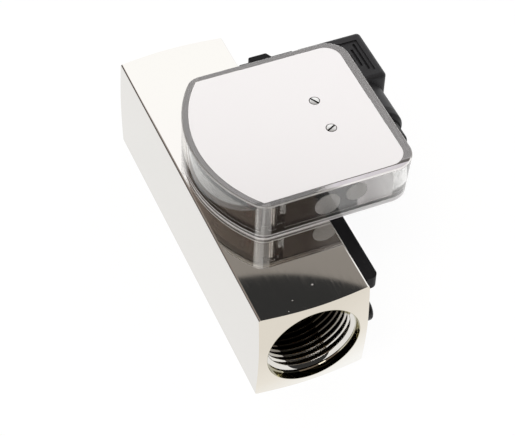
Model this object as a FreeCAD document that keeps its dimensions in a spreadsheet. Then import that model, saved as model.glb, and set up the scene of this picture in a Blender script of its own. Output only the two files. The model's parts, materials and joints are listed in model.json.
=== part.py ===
import FreeCAD, Part
import math
import os
from types import SimpleNamespace

import Sketcher
from FreeCAD import Rotation, Vector

# Variable area flow meter with a magnetic pointer and a limit switch, in millimetres.
# The frame stands at the centre of the body's bottom face: +Y runs along the flow from inlet to
# outlet, +X towards the limit switch and +Z up to the display.

doc = FreeCAD.newDocument("FlowMeter")
sheet = doc.addObject("Spreadsheet::Sheet", "Sizes")

# Driving dimensions: name, millimetres or degrees, what it is
SIZES = [
    ("body_width", 40, "width and height of the square bar"),
    ("body_length", 132, "length of the bar over its two lands"),
    ("body_edge", 0.8, "rounding of the long edges"),
    ("land_width", 0.6, "flat land round each port's mouth"),
    ("end_cone", 10, "angle of the turned cone outside the land, degrees"),
    ("mouth_step", 0.38, "plain counterbore at the port's mouth, over the thread's root"),
    ("mouth_depth", 3, "depth of that counterbore"),
    ("port_radius", 16.62, "root radius of the pipe thread"),
    ("port_depth", 23, "depth of the port from the land"),
    ("bore_radius", 15, "plain bore between the ports"),
    ("bore_cover", 1.1, "metal left between a case screw's hole and the bore"),
    ("port_cover", 0.6, "metal left between a bracket screw's hole and the port"),
    ("fit_gap", 0.05, "radial gap of pieces that are fixed in each other"),
    ("run_gap", 0.08, "radial gap of pieces that run on each other"),
    ("rest_gap", 0.3, "gap at a stop where a moving piece rests"),
    ("ring_setback", 2, "from the port's inner end to the retaining ring"),
    ("ring_thickness", 1.2, "thickness of a retaining ring"),
    ("ring_width", 2.4, "radial width of a retaining ring"),
    ("ring_groove", 0.8, "depth of its groove in the bore"),
    ("ring_opening", 8, "width of the ring's opening"),
    ("guide_length", 6, "length of a spider guide"),
    ("guide_rim", 2, "radial thickness of its rim"),
    ("guide_hub", 5.5, "radius of its hub"),
    ("guide_arm", 2.4, "width of its arms"),
    ("rod_radius", 2, "guide rod"),
    ("rod_end", 0.4, "chamfer on the rod's ends"),
    ("float_gap", 0.5, "gap round the float's edge at rest"),
    ("sleeve_wall", 1.75, "wall of the sleeve at full flow"),
    ("float_radius", 10.2, "metering edge of the float"),
    ("float_undercut", 2, "taper behind that edge"),
    ("float_head", 4, "thickness of the float's head"),
    ("float_shank", 5.5, "shank that carries the magnet"),
    ("nose_radius", 3.4, "tip of the float's nose"),
    ("nose_length", 6, "nose in front of the head"),
    ("magnet_radius", 9, "outer radius of the float's ring magnet"),
    ("magnet_length", 8, "length of that magnet"),
    ("cap_length", 9.7, "length of the cap behind the magnet"),
    ("cap_floor", 3, "thickness of the cap's bottom"),
    ("cap_wall", 1.6, "wall of the cap's cup"),
    ("wire_radius", 0.45, "spring wire"),
    ("spring_radius", 3.9, "mean radius of the spring"),
    ("spring_turns", 6, "turns of the spring"),
    ("pivot_x", 31.1, "pointer pivot, to the right of the flow axis"),
    ("tip_gap", 2.25, "pointer's tip to the scale"),
    ("case_right", 52.7, "right side of the display"),
    ("case_half", 33, "half the display's length"),
    ("case_height", 16, "height of the display over the body"),
    ("case_lean", 1.15, "right side leans in by this at its foot"),
    ("case_corner", 8.5, "corners on the right"),
    ("case_sharp", 6.5, "corners where the curved wall ends"),
    ("case_edge", 0.6, "rounding of the rim"),
    ("case_wall", 2.3, "rim beside the cover plate"),
    ("case_side", 3.2, "rim on the right"),
    ("case_ledge", 1, "ledge that carries the cover plate"),
    ("case_floor", 1.5, "thickness of the clear base plate"),
    ("post_length", 7.5, "clear corner post along the front or back"),
    ("post_depth", 6, "corner post across"),
    ("post_gap", 1.1, "corner post to the pointer's tip at the end of its swing"),
    ("plate_thickness", 1.5, "cover plate"),
    ("plate_gap", 0.1, "gap between cover plate and rim"),
    ("boss_radius", 3.5, "boss under the pointer"),
    ("boss_height", 2, "height of that boss"),
    ("shaft_radius", 1.0, "pointer pin"),
    ("standoff_radius", 2.5, "pillar under the cover plate"),
    ("standoff_y", 7.05, "pillars in front of and behind the pivot"),
    ("stud_radius", 1.5, "threaded lower end of a pillar"),
    ("stud_length", 5, "stud below the base plate's top"),
    ("bridge_thickness", 1.4, "bearing bridge"),
    ("bridge_width", 7, "width of the bridge"),
    ("bridge_round", 2.8, "rounded ends of the bridge"),
    ("hub_radius", 3.2, "pointer hub"),
    ("hub_height", 5.2, "height of the hub"),
    ("hub_neck", 2.2, "neck that the arm is riveted on"),
    ("arm_thickness", 1.0, "pointer arm"),
    ("arm_level", 3.2, "arm over the hub's foot"),
    ("arm_root", 2, "half the arm's width at the hub"),
    ("arm_tip", 0.8, "half the arm's width at its tip"),
    ("arm_reach", 43, "tip of the pointer from the pivot"),
    ("arm_margin", 0.5, "arm beyond the hub and the magnet"),
    ("blade_length", 1.6, "upright blade at the tip"),
    ("blade_height", 8, "height of that blade"),
    ("drive_radius", 4, "magnet under the arm"),
    ("drive_gap", 0.8, "magnet over the base plate"),
    ("drive_bevel", 0.5, "lower edge of that magnet"),
    ("weight_radius", 3.5, "counterweight"),
    ("weight_gap", 0.9, "counterweight to the case's right wall"),
    ("weight_height", 2.6, "height of the counterweight"),
    ("scale_thickness", 0.4, "scale strip"),
    ("scale_height", 10, "height of the scale strip"),
    ("screw_radius", 1.25, "shank of the small screws"),
    ("screw_head", 2.15, "head of the small screws"),
    ("head_height", 0.9, "height of those heads"),
    ("head_bevel", 0.22, "bevel of those heads"),
    ("slot_width", 0.65, "slot of every screw"),
    ("slot_depth", 0.5, "depth of the slot in small heads"),
    ("slot_deep", 1.0, "depth of the slot in large heads"),
    ("plate_screw", 7, "cover screw below its head"),
    ("plate_sink", 0.6, "cover screws let into the plate"),
    ("flange_thickness", 5.5, "upper flange of the bracket"),
    ("tongue_width", 4.7, "tongue of the flange beside the body"),
    ("tongue_flat", 0.2, "flat end of the tongue beside its round corner"),
    ("tongue_setback", 4.8, "end of the tongue from the body's inlet end"),
    ("tongue_drop", 0.3, "tongue below the body's top"),
    ("ear_setback", 5.8, "end of the rear ear from the body's outlet end"),
    ("ear_length", 12, "rear ear behind the switch"),
    ("switch_front", 10.5, "front of the switch, in front of the middle"),
    ("switch_depth", 21.4, "switch from the body's side"),
    ("switch_bottom", 12, "underside of the switch"),
    ("switch_wall", 1.8, "wall of the switch box"),
    ("flange_round", 4, "round corners of the flange"),
    ("web_thickness", 2.2, "web of the bracket"),
    ("web_bottom", 9, "lower edge of the web"),
    ("ear_top", 29, "upper edge of the rear ear"),
    ("tab_start", 4.7, "tab behind the flange, from the body's side"),
    ("tab_width", 8.5, "width of the tab"),
    ("tab_length", 2.4, "tab beyond the flange"),
    ("tab_slope", 1.2, "slope of the tab's outer side"),
    ("tab_round", 0.8, "rounded corners of the tab"),
    ("tab_height", 4, "height of the tab"),
    ("pan_radius", 4, "pan head of the bracket screws"),
    ("pan_height", 2.8, "height of the pan head"),
    ("pan_round", 1.1, "rounding of the pan head"),
    ("pan_shank", 2, "shank of the bracket screws"),
    ("pan_margin", 4.2, "bracket screws from the bracket's ends"),
    ("pan_z", 17.7, "height of the bracket screws"),
    ("cover_thickness", 2, "switch cover"),
    ("cover_post", 2.8, "screw posts in the switch box"),
    ("cover_screw", 8, "cover screw below its head"),
    ("wire_hole", 4, "hole for the wires in the cover"),
    ("carrier_start", 7.2, "saddle of the reed switch, from the front of the switch"),
    ("carrier_length", 30, "length of the saddle"),
    ("carrier_width", 8, "width of the saddle"),
    ("carrier_depth", 5, "depth of the saddle"),
    ("reed_radius", 1.6, "glass of the reed switch"),
    ("reed_taper", 0.8, "drawn-in ends of the glass"),
    ("reed_length", 20, "length of the glass"),
    ("lead_radius", 0.4, "leads of the reed switch"),
    ("lead_length", 4, "length of each lead"),
    ("plug_overhang", 1.1, "back of the plug beyond the back of the switch"),
    ("plug_length", 24.75, "plug along the body"),
    ("plug_width", 22, "plug from top to bottom"),
    ("plug_drop", 0.3, "plug below the display"),
    ("plug_height", 23.9, "plug housing, outwards"),
    ("plug_round", 1.8, "rounded edges of the plug"),
    ("plug_wall", 2.4, "wall of the plug"),
    ("plug_cavity", 15, "depth of the plug's hollow"),
    ("panel_inset", 3.05, "grooved panel inside the plug's outer face"),
    ("panel_end", 3.9, "grooved panel inside the plug's front and back"),
    ("panel_depth", 0.5, "depth of the panel"),
    ("groove_width", 1, "grip grooves"),
    ("groove_pitch", 1.85, "from groove to groove"),
    ("groove_length", 14.2, "length of the outermost groove"),
    ("groove_step", 2.5, "each groove further in is shorter by this at either end"),
    ("groove_depth", 0.8, "depth of the grooves"),
    ("base_thickness", 3, "socket base of the plug"),
    ("gasket_thickness", 1.2, "flat gasket of the plug"),
    ("gasket_hole", 7.5, "half the opening of the gasket"),
    ("pin_width", 5, "flat contact pins"),
    ("pin_thickness", 0.8, "thickness of the pins"),
    ("pin_length", 9, "pins beyond the base"),
    ("pin_offset", 5.6, "pins from the plug's middle"),
    ("insert_depth", 11, "depth of the contact insert"),
    ("bolt_radius", 1.5, "central screw of the plug"),
    ("bolt_head", 2.9, "head of the central screw"),
    ("bolt_sink", 3, "counterbore for that head"),
    ("bolt_recess", 0.5, "head below the plug's face"),
    ("gland_inset", 1.1, "gland neck inside the plug's face"),
    ("neck_radius", 9.1, "gland neck"),
    ("neck_length", 12.75, "length of the neck"),
    ("thread_radius", 7.6, "threaded end of the neck"),
    ("thread_length", 3.8, "length of that end"),
    ("gland_bore", 6.6, "bore of the neck"),
    ("nut_radius", 9.1, "gland nut"),
    ("nut_length", 5.4, "length of the nut"),
    ("nut_straight", 3.6, "straight part of the nut"),
    ("nut_dome", 7.8, "front of the domed nut"),
    ("nut_round", 1.2, "rounding of the nut's shoulder"),
    ("seal_depth", 2, "seal inside the neck"),
    ("collar_radius", 7.1, "rubber collar in front of the nut"),
    ("collar_length", 7, "length of that collar"),
    ("collar_bevel", 0.6, "bevel of the collar's end"),
    ("cable_radius", 3.5, "cable hole of the seal"),
]
for row, (name, number, note) in enumerate(SIZES, start=1):
    sheet.set(f"A{row}", name)
    sheet.set(f"B{row}", str(number))
    sheet.set(f"C{row}", note)
    sheet.setAlias(f"B{row}", name)
doc.recompute()


class Size(float):
    """A number together with the sheet expression that it comes from."""

    def __new__(cls, number, text):
        made = super().__new__(cls, number)
        made.text = text
        return made

    def __add__(self, other):
        return Size(float(self) + float(other), f"({text_of(self)} + {text_of(other)})")

    def __radd__(self, other):
        return Size(float(other) + float(self), f"({text_of(other)} + {text_of(self)})")

    def __sub__(self, other):
        return Size(float(self) - float(other), f"({text_of(self)} - {text_of(other)})")

    def __rsub__(self, other):
        return Size(float(other) - float(self), f"({text_of(other)} - {text_of(self)})")

    def __mul__(self, other):
        return Size(float(self) * float(other), f"({text_of(self)} * {text_of(other)})")

    def __rmul__(self, other):
        return self * other

    def __truediv__(self, other):
        return Size(float(self) / float(other), f"({text_of(self)} / {text_of(other)})")

    def __neg__(self):
        return Size(-float(self), f"(-1 * {text_of(self)})")


def text_of(number):
    """The expression text of a size, or of a plain number."""
    if isinstance(number, Size):
        return number.text
    return repr(float(number))


def root(size):
    """Square root of a size."""
    return Size(math.sqrt(size), f"sqrt({size.text})")


def tangent(size):
    """Tangent of an angle in degrees."""
    return Size(math.tan(math.radians(size)), f"tan({size.text})")


def angle_of_sine(size):
    """The angle in degrees that has this sine."""
    return Size(math.degrees(math.asin(size)), f"asin({size.text})")


def angle_of_cosine(size):
    """The angle in degrees that has this cosine."""
    return Size(math.degrees(math.acos(size)), f"acos({size.text})")


def bind(thing, field, size):
    """Tie one property of an object to the sheet."""
    thing.setExpression(field, text_of(size))


s = SimpleNamespace(**{name: Size(sheet.get(name), f"Sizes.{name}") for name, *rest in SIZES})


# Sketch outlines: each function returns one that draws itself on a sketch

def hold(sketch, geometry, point, x, y):
    """Fix one point of a sketch at a bound distance from the sketch's origin."""
    for kind, size in (("DistanceX", x), ("DistanceY", y)):
        index = sketch.addConstraint(Sketcher.Constraint(kind, -1, 1, geometry, point, float(size)))
        bind(sketch, f"Constraints[{index}]", size)


def polygon(*points):
    """A closed outline of straight lines."""
    def draw(sketch):
        first = sketch.GeometryCount
        spots = [Vector(float(x), float(y), 0) for x, y in points]
        for start, end in zip(spots, spots[1:] + spots[:1]):
            sketch.addGeometry(Part.LineSegment(start, end), False)
        count = len(points)
        for i in range(count):
            link = Sketcher.Constraint("Coincident", first + i, 2, first + (i + 1) % count, 1)
            sketch.addConstraint(link)
        for i, (x, y) in enumerate(points):
            hold(sketch, first + i, 1, x, y)
    return draw


def rectangle(low_x, low_y, high_x, high_y):
    """An upright rectangle between two corners."""
    return polygon((low_x, low_y), (high_x, low_y), (high_x, high_y), (low_x, high_y))


def circle(x, y, radius):
    """A circle about a bound centre."""
    def draw(sketch):
        centre = Vector(float(x), float(y), 0)
        index = sketch.addGeometry(Part.Circle(centre, Vector(0, 0, 1), float(radius)), False)
        hold(sketch, index, 3, x, y)
        size = sketch.addConstraint(Sketcher.Constraint("Radius", index, float(radius)))
        bind(sketch, f"Constraints[{size}]", radius)
    return draw


def display_outline(radius, half, right):
    """Plan of the display: an arc about the pivot, closed by straight front, side and back."""
    def draw(sketch):
        angle = math.asin(half / radius)
        left = -math.sqrt(radius * radius - half * half)
        ring = Part.Circle(Vector(0, 0, 0), Vector(0, 0, 1), float(radius))
        arc = sketch.addGeometry(Part.ArcOfCircle(ring, math.pi - angle, math.pi + angle), False)
        places = ((left, -half), (right, -half), (right, half), (left, half))
        corners = [Vector(x, y, 0) for x, y in places]
        front, side, back = [
            sketch.addGeometry(Part.LineSegment(start, end), False)
            for start, end in zip(corners, corners[1:])
        ]
        chain = [arc, front, side, back]
        for this, following in zip(chain, chain[1:] + chain[:1]):
            sketch.addConstraint(Sketcher.Constraint("Coincident", this, 2, following, 1))
        sketch.addConstraint(Sketcher.Constraint("Coincident", arc, 3, -1, 1))
        for level in (front, back):
            sketch.addConstraint(Sketcher.Constraint("Horizontal", level))
        size = sketch.addConstraint(Sketcher.Constraint("Radius", arc, float(radius)))
        bind(sketch, f"Constraints[{size}]", radius)
        hold(sketch, side, 1, right, -half)
        hold(sketch, side, 2, right, half)
    return draw


# Features

def new_body(label, x=0, y=0, z=0):
    """An empty body that stands at a bound place."""
    body = doc.addObject("PartDesign::Body", label)
    for axis, size in (("x", x), ("y", y), ("z", z)):
        bind(body, f"Placement.Base.{axis}", size)
    return body


def new_sketch(body, name, plane, offset, outlines):
    """A sketch on one of the body's own planes, moved along the plane's normal."""
    sketch = body.newObject("Sketcher::SketchObject", f"{body.Name}_{name}")
    support = [item for item in body.Origin.OriginFeatures if item.Role == plane][0]
    sketch.AttachmentSupport = [(support, "")]
    sketch.MapMode = "FlatFace"
    bind(sketch, "AttachmentOffset.Base.z", offset)
    for draw in outlines:
        draw(sketch)
    return sketch


def add(body, name, plane, low, high, *outlines):
    """Pad an outline from one level to another along the plane's own axis."""
    offset = -high if plane == "XZ_Plane" else low
    sketch = new_sketch(body, name, plane, offset, outlines)
    feature = body.newObject("PartDesign::Pad", f"{sketch.Name}_pad")
    feature.Profile = sketch
    bind(feature, "Length", high - low)
    doc.recompute()
    return feature


def cut(body, name, plane, low, high, *outlines):
    """Pocket an outline from one level to another along the plane's own axis."""
    before = body.Shape.Volume
    offset = -low if plane == "XZ_Plane" else high
    sketch = new_sketch(body, name, plane, offset, outlines)
    feature = body.newObject("PartDesign::Pocket", f"{sketch.Name}_pocket")
    feature.Profile = sketch
    bind(feature, "Length", high - low)
    doc.recompute()
    check_cut(body, sketch.Name, before)
    return feature


def turn(body, name, plane, axis, *outlines):
    """Revolve an outline about one axis of its sketch."""
    sketch = new_sketch(body, name, plane, 0, outlines)
    feature = body.newObject("PartDesign::Revolution", f"{sketch.Name}_turn")
    feature.Profile = sketch
    feature.ReferenceAxis = (sketch, [axis])
    doc.recompute()
    return feature


def turn_out(body, name, plane, axis, *outlines):
    """Cut a revolved outline out of a body."""
    before = body.Shape.Volume
    sketch = new_sketch(body, name, plane, 0, outlines)
    feature = body.newObject("PartDesign::Groove", f"{sketch.Name}_groove")
    feature.Profile = sketch
    feature.ReferenceAxis = (sketch, [axis])
    doc.recompute()
    check_cut(body, sketch.Name, before)
    return feature


def check_cut(body, name, before):
    """A cut that misses the solid shows no error, so the volume tells."""
    if not body.Shape.Volume < before:
        raise ValueError(f"{name} cuts nothing")


def dress(body, kind, field, size, wanted):
    """Round or chamfer those edges of a body's last feature that the test picks."""
    last = body.Tip
    names = [f"Edge{i}" for i, edge in enumerate(last.Shape.Edges, start=1) if wanted(edge)]
    feature = body.newObject(f"PartDesign::{kind}", f"{last.Name}_{kind.lower()}")
    feature.Base = (last, names)
    bind(feature, field, size)
    doc.recompute()
    return feature


def soften(body, radius, wanted):
    """Round the chosen edges."""
    return dress(body, "Fillet", "Radius", radius, wanted)


def bevel(body, size, wanted):
    """Chamfer the chosen edges."""
    return dress(body, "Chamfer", "Size", size, wanted)


NEAR = 0.01


def lies(edge, **levels):
    """True if the middle of an edge has the given coordinates."""
    middle = edge.CenterOfMass
    return all(abs(getattr(middle, axis) - level) < NEAR for axis, level in levels.items())


def runs_along(edge, axis):
    """True for a straight edge along an axis."""
    if edge.Curve.TypeId != "Part::GeomLine":
        return False
    return abs(edge.Curve.Direction.dot(axis)) > 1 - NEAR


X_AXIS = Vector(1, 0, 0)
Y_AXIS = Vector(0, 1, 0)
Z_AXIS = Vector(0, 0, 1)


def group(label, bodies):
    """Several equal pieces as one sub-part of separate solids."""
    made = doc.addObject("Part::Compound", label)
    made.Links = bodies
    doc.recompute()
    return made


def mirrored(points):
    """A profile given from one end to the middle, completed with its mirror image."""
    return list(points) + [(radius, -level) for radius, level in reversed(points)]


# Levels and places that several pieces share
flow_z = s.body_width / 2
body_side = s.body_width / 2
body_end = s.body_length / 2
port_end = body_end - s.port_depth
ring_face = port_end - s.ring_setback
guide_face = ring_face - s.ring_thickness
sleeve_end = guide_face - s.guide_length
mouth_radius = s.port_radius + s.mouth_step
land_radius = mouth_radius + s.land_width

# The float rests on the inlet guide, and travels as far behind the pivot as it rests before it
head_front = -s.magnet_length / 2 - s.float_head
nose_tip = head_front - s.nose_length
float_rest = s.rest_gap - sleeve_end - nose_tip
float_stroke = -2 * float_rest

# Heights in the display are over the body's top
plate_under = s.case_height - s.plate_thickness
bridge_under = plate_under - s.bridge_thickness
boss_top = s.case_floor + s.boss_height
hub_foot = boss_top + s.rest_gap
arm_under = hub_foot + s.arm_level

# The curved wall stands round the scale, and the scale round the pointer's tip
scale_inner = s.arm_reach + s.tip_gap
scale_outer = scale_inner + s.scale_thickness
room_radius = scale_outer + s.fit_gap
rebate_radius = room_radius + s.case_ledge
case_radius = rebate_radius + s.case_wall
case_reach = s.case_right - s.pivot_x
weight_reach = case_reach - s.case_side - s.case_ledge - s.weight_gap - s.weight_radius

# Corner posts fill the corners inside the rim, and the pointer swings between them
post_corner_y = s.case_half - s.case_wall
post_corner_x = root(rebate_radius * rebate_radius - post_corner_y * post_corner_y)
post_x = s.post_length / 2 - post_corner_x
post_y = post_corner_y - s.post_depth / 2
post_sink = s.head_height + s.rest_gap
pointer_side = post_corner_y - s.post_depth - s.post_gap - s.arm_tip
half_swing = angle_of_sine(pointer_side / s.arm_reach)
half_scale = angle_of_cosine((post_corner_x + s.rest_gap) / scale_inner)
case_well = body_side - s.bore_radius - s.bore_cover
bracket_well = body_side - s.port_radius - s.port_cover

# The bracket runs along the body's right side and carries the switch and the plug
flange_under = s.body_width - s.flange_thickness
bracket_front = body_end - s.tongue_setback
bracket_rear = body_end - s.ear_setback
tongue_corner = s.tongue_width - s.web_thickness - s.tongue_flat
pan_places = (s.pan_margin - bracket_front, bracket_rear - s.pan_margin)
switch_rear = bracket_rear - s.ear_length
switch_face = body_side + s.switch_depth
cover_inner = s.switch_depth - s.cover_thickness
saddle_front = s.carrier_start - s.switch_front
plug_y = switch_rear + s.plug_overhang - s.plug_length / 2
plug_z = s.body_width - s.plug_drop - s.plug_width / 2
gasket_face = s.base_thickness + s.gasket_thickness
plug_top = gasket_face + s.plug_height
plug_front = -s.plug_length / 2
gland_out = plug_top - s.gland_inset - s.neck_radius
neck_end = plug_front - s.neck_length
thread_end = neck_end - s.thread_length
nut_front = neck_end - s.nut_length
BOTH_WAYS = (-1, 1)
GROOVES = 3


def make_flow_body():
    """Square bar with a turned cone and a pipe port at each end, bored through between them."""
    body = new_body("flow_body", z=flow_z)
    side = s.body_width / 2
    add(body, "bar", "XZ_Plane", -body_end, body_end, rectangle(-side, -side, side, side))
    soften(body, s.body_edge, lambda edge: runs_along(edge, Y_AXIS))
    reach = s.body_width
    setback = (reach - land_radius) * tangent(s.end_cone)
    for sign in BOTH_WAYS:
        cone = polygon((land_radius, sign * body_end), (reach, sign * body_end),
                       (reach, sign * (body_end - setback)))
        turn_out(body, f"cone{sign + 1}", "XY_Plane", "V_Axis", cone)
    groove_radius = s.bore_radius + s.ring_groove
    half = [
        (0, body_end), (mouth_radius, body_end), (mouth_radius, body_end - s.mouth_depth),
        (s.port_radius, body_end - s.mouth_depth), (s.port_radius, port_end), (s.bore_radius, port_end),
        (s.bore_radius, ring_face + s.fit_gap), (groove_radius, ring_face + s.fit_gap),
        (groove_radius, guide_face), (s.bore_radius, guide_face),
    ]
    turn_out(body, "bore", "XY_Plane", "V_Axis", polygon(*mirrored(half)))
    wells = [circle(s.pivot_x + post_x, sign * post_y, s.screw_radius + s.fit_gap) for sign in BOTH_WAYS]
    cut(body, "case_wells", "XY_Plane", side - case_well, side, *wells)
    wells = [circle(y, s.pan_z - flow_z, s.pan_shank + s.fit_gap) for y in pan_places]
    cut(body, "bracket_wells", "YZ_Plane", side - bracket_well, side, *wells)
    return body


def make_metering_sleeve():
    """Sleeve between the guides whose bore widens in the direction of flow."""
    body = new_body("metering_sleeve", z=flow_z)
    outer = s.bore_radius - s.fit_gap
    narrow = s.float_radius + s.float_gap
    wide = outer - s.sleeve_wall
    edge_start = float_rest + head_front
    edge_end = edge_start + float_stroke
    profile = polygon((outer, -sleeve_end), (outer, sleeve_end), (wide, sleeve_end),
                      (wide, edge_end), (narrow, edge_start), (narrow, -sleeve_end))
    turn(body, "profile", "XY_Plane", "V_Axis", profile)
    return body


def make_guide(label, sign):
    """Three-armed spider that carries one end of the rod."""
    body = new_body(label, y=sign * (guide_face - s.guide_length / 2), z=flow_z)
    half = s.guide_length / 2
    outer = s.bore_radius - s.fit_gap
    inner = outer - s.guide_rim
    add(body, "rim", "XZ_Plane", -half, half, circle(0, 0, outer), circle(0, 0, inner))
    arm = add(body, "arm", "XZ_Plane", -half, half,
              rectangle(-s.guide_arm / 2, s.guide_hub / 2, s.guide_arm / 2, inner + s.guide_rim / 2))
    spread = body.newObject("PartDesign::PolarPattern", f"{label}_arms")
    spread.Originals = [arm]
    spread.Axis = (arm.Profile[0], ["N_Axis"])
    spread.Angle = 360
    spread.Occurrences = 3
    body.Tip = spread
    doc.recompute()
    add(body, "hub", "XZ_Plane", -half, half, circle(0, 0, s.guide_hub))
    cut(body, "eye", "XZ_Plane", -half, half, circle(0, 0, s.rod_radius + s.fit_gap))
    return body


def make_retaining_rings():
    """The two spring rings in the bore's grooves, each with its opening."""
    rings = []
    outer = s.bore_radius + s.ring_groove - s.fit_gap
    for sign in BOTH_WAYS:
        level = sign * (ring_face - s.ring_thickness / 2)
        body = new_body(f"retaining_ring{sign + 1}", y=level, z=flow_z)
        half = s.ring_thickness / 2
        add(body, "ring", "XZ_Plane", -half, half, circle(0, 0, outer), circle(0, 0, outer - s.ring_width))
        gap = rectangle(-s.ring_opening / 2, -outer - s.ring_width, s.ring_opening / 2, 0)
        cut(body, "opening", "XZ_Plane", -half, half, gap)
        rings.append(body)
    return group("retaining_rings", rings)


def make_guide_rod():
    """Polished rod from guide to guide."""
    body = new_body("guide_rod", z=flow_z)
    slim = s.rod_radius - s.rod_end
    half = [(0, guide_face), (slim, guide_face), (s.rod_radius, guide_face - s.rod_end)]
    turn(body, "profile", "XY_Plane", "V_Axis", polygon(*mirrored(half)))
    return body


def make_float():
    """Float with a sharp metering edge, a tapered nose and the shank for its magnet."""
    body = new_body("float", y=float_rest, z=flow_z)
    eye = s.rod_radius + s.run_gap
    magnet_end = s.magnet_length / 2
    waist = s.float_radius - s.float_undercut
    profile = polygon((eye, nose_tip), (s.nose_radius, nose_tip), (waist, head_front),
                      (s.float_radius, head_front), (waist, -magnet_end), (s.float_shank, -magnet_end),
                      (s.float_shank, magnet_end + s.cap_floor), (eye, magnet_end + s.cap_floor))
    turn(body, "profile", "XY_Plane", "V_Axis", profile)
    return body


def make_float_magnet():
    """Ring magnet on the float's shank."""
    body = new_body("float_magnet", y=float_rest, z=flow_z)
    half = s.magnet_length / 2
    add(body, "ring", "XZ_Plane", -half, half,
        circle(0, 0, s.magnet_radius), circle(0, 0, s.float_shank + s.fit_gap))
    return body


def make_float_cap():
    """Cup that screws on the shank, holds the magnet and guides the spring."""
    body = new_body("float_cap", y=float_rest, z=flow_z)
    start = s.magnet_length / 2
    end = start + s.cap_length
    inner = s.magnet_radius - s.cap_wall
    eye = s.float_shank + s.fit_gap
    profile = polygon((eye, start), (s.magnet_radius, start), (s.magnet_radius, end), (inner, end),
                      (inner, start + s.cap_floor), (eye, start + s.cap_floor))
    turn(body, "profile", "XY_Plane", "V_Axis", profile)
    return body


def make_return_spring():
    """Compression spring from the float's shank to the outlet guide."""
    start = float_rest + s.magnet_length / 2 + s.cap_floor + s.wire_radius
    body = new_body("return_spring", y=start, z=flow_z)
    sketch = new_sketch(body, "wire", "XY_Plane", 0, [circle(s.spring_radius, 0, s.wire_radius)])
    coil = body.newObject("PartDesign::AdditiveHelix", "return_spring_coil")
    coil.Profile = sketch
    coil.ReferenceAxis = (sketch, ["V_Axis"])
    coil.Mode = "height-turns-angle"
    bind(coil, "Height", sleeve_end - start - s.wire_radius)
    bind(coil, "Turns", s.spring_turns)
    doc.recompute()
    return body


def round_display_corners(body):
    """Let the display's right side lean in towards its foot, and round the upright edges of its outline."""
    outside = case_reach + s.case_lean
    wedge = polygon((case_reach, s.case_height), (case_reach - s.case_lean, 0), (outside, 0),
                    (outside, s.case_height))
    cut(body, "lean", "XZ_Plane", -s.case_half, s.case_half, wedge)
    soften(body, s.case_corner, lambda edge: edge.BoundBox.ZLength > NEAR and edge.CenterOfMass.x > 0)
    soften(body, s.case_sharp, lambda edge: runs_along(edge, Z_AXIS) and edge.CenterOfMass.x < 0
           and abs(abs(edge.CenterOfMass.y) - s.case_half) < NEAR)


def make_base_plate():
    """Clear floor of the display, with the boss for the pointer's pin."""
    body = new_body("base_plate", x=s.pivot_x, z=s.body_width)
    outline = display_outline(case_radius, s.case_half, case_reach)
    add(body, "floor", "XY_Plane", 0, s.case_floor, outline)
    round_display_corners(body)
    add(body, "boss", "XY_Plane", 0, boss_top, circle(0, 0, s.boss_radius))
    holes = [circle(0, 0, s.shaft_radius + s.fit_gap)]
    for sign in BOTH_WAYS:
        holes.append(circle(0, sign * s.standoff_y, s.stud_radius + s.fit_gap))
        holes.append(circle(post_x, sign * post_y, s.screw_radius + s.fit_gap))
    cut(body, "holes", "XY_Plane", 0, boss_top, *holes)
    return body


def make_display_case():
    """Clear wall of the display: a ledge for the cover plate and two thick corner posts."""
    body = new_body("display_case", x=s.pivot_x, z=s.body_width)
    low = s.case_floor
    top = s.case_height
    add(body, "block", "XY_Plane", low, top, display_outline(case_radius, s.case_half, case_reach))
    round_display_corners(body)
    rebate_right = case_reach - s.case_side
    rebate = display_outline(rebate_radius, post_corner_y, rebate_right)
    cut(body, "rebate", "XY_Plane", plate_under, top, rebate)
    room_right = rebate_right - s.case_ledge
    room = display_outline(room_radius, post_corner_y - s.case_ledge, room_right)
    cut(body, "room", "XY_Plane", low, plate_under, room)
    inner_corner = s.case_corner - s.case_wall
    inner_walls = (rebate_right, room_right)
    soften(body, inner_corner, lambda edge: runs_along(edge, Z_AXIS)
           and any(lies(edge, x=wall) for wall in inner_walls))

    def is_rim(edge):
        """Whether the edge is part of the rim's outer outline at the top."""
        spot = edge.valueAt((edge.FirstParameter + edge.LastParameter) / 2)
        outside = max(spot.x - rebate_right, abs(spot.y) - post_corner_y,
                      math.hypot(spot.x, spot.y) - rebate_radius)
        return outside > NEAR and abs(spot.z - top) < NEAR and edge.BoundBox.ZLength < NEAR

    soften(body, s.case_edge, is_rim)
    for sign in BOTH_WAYS:
        post = rectangle(-post_corner_x, sign * post_corner_y - s.post_depth * (sign + 1) / 2,
                         s.post_length - post_corner_x, sign * post_corner_y + s.post_depth * (1 - sign) / 2)
        add(body, f"post{sign + 1}", "XY_Plane", low, plate_under, post)
    shanks = [circle(post_x, sign * post_y, s.screw_radius + s.fit_gap) for sign in BOTH_WAYS]
    cut(body, "screw_holes", "XY_Plane", low, plate_under, *shanks)
    heads = [circle(post_x, sign * post_y, s.screw_head + s.rest_gap) for sign in BOTH_WAYS]
    cut(body, "screw_seats", "XY_Plane", plate_under - post_sink, plate_under, *heads)
    return body


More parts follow.
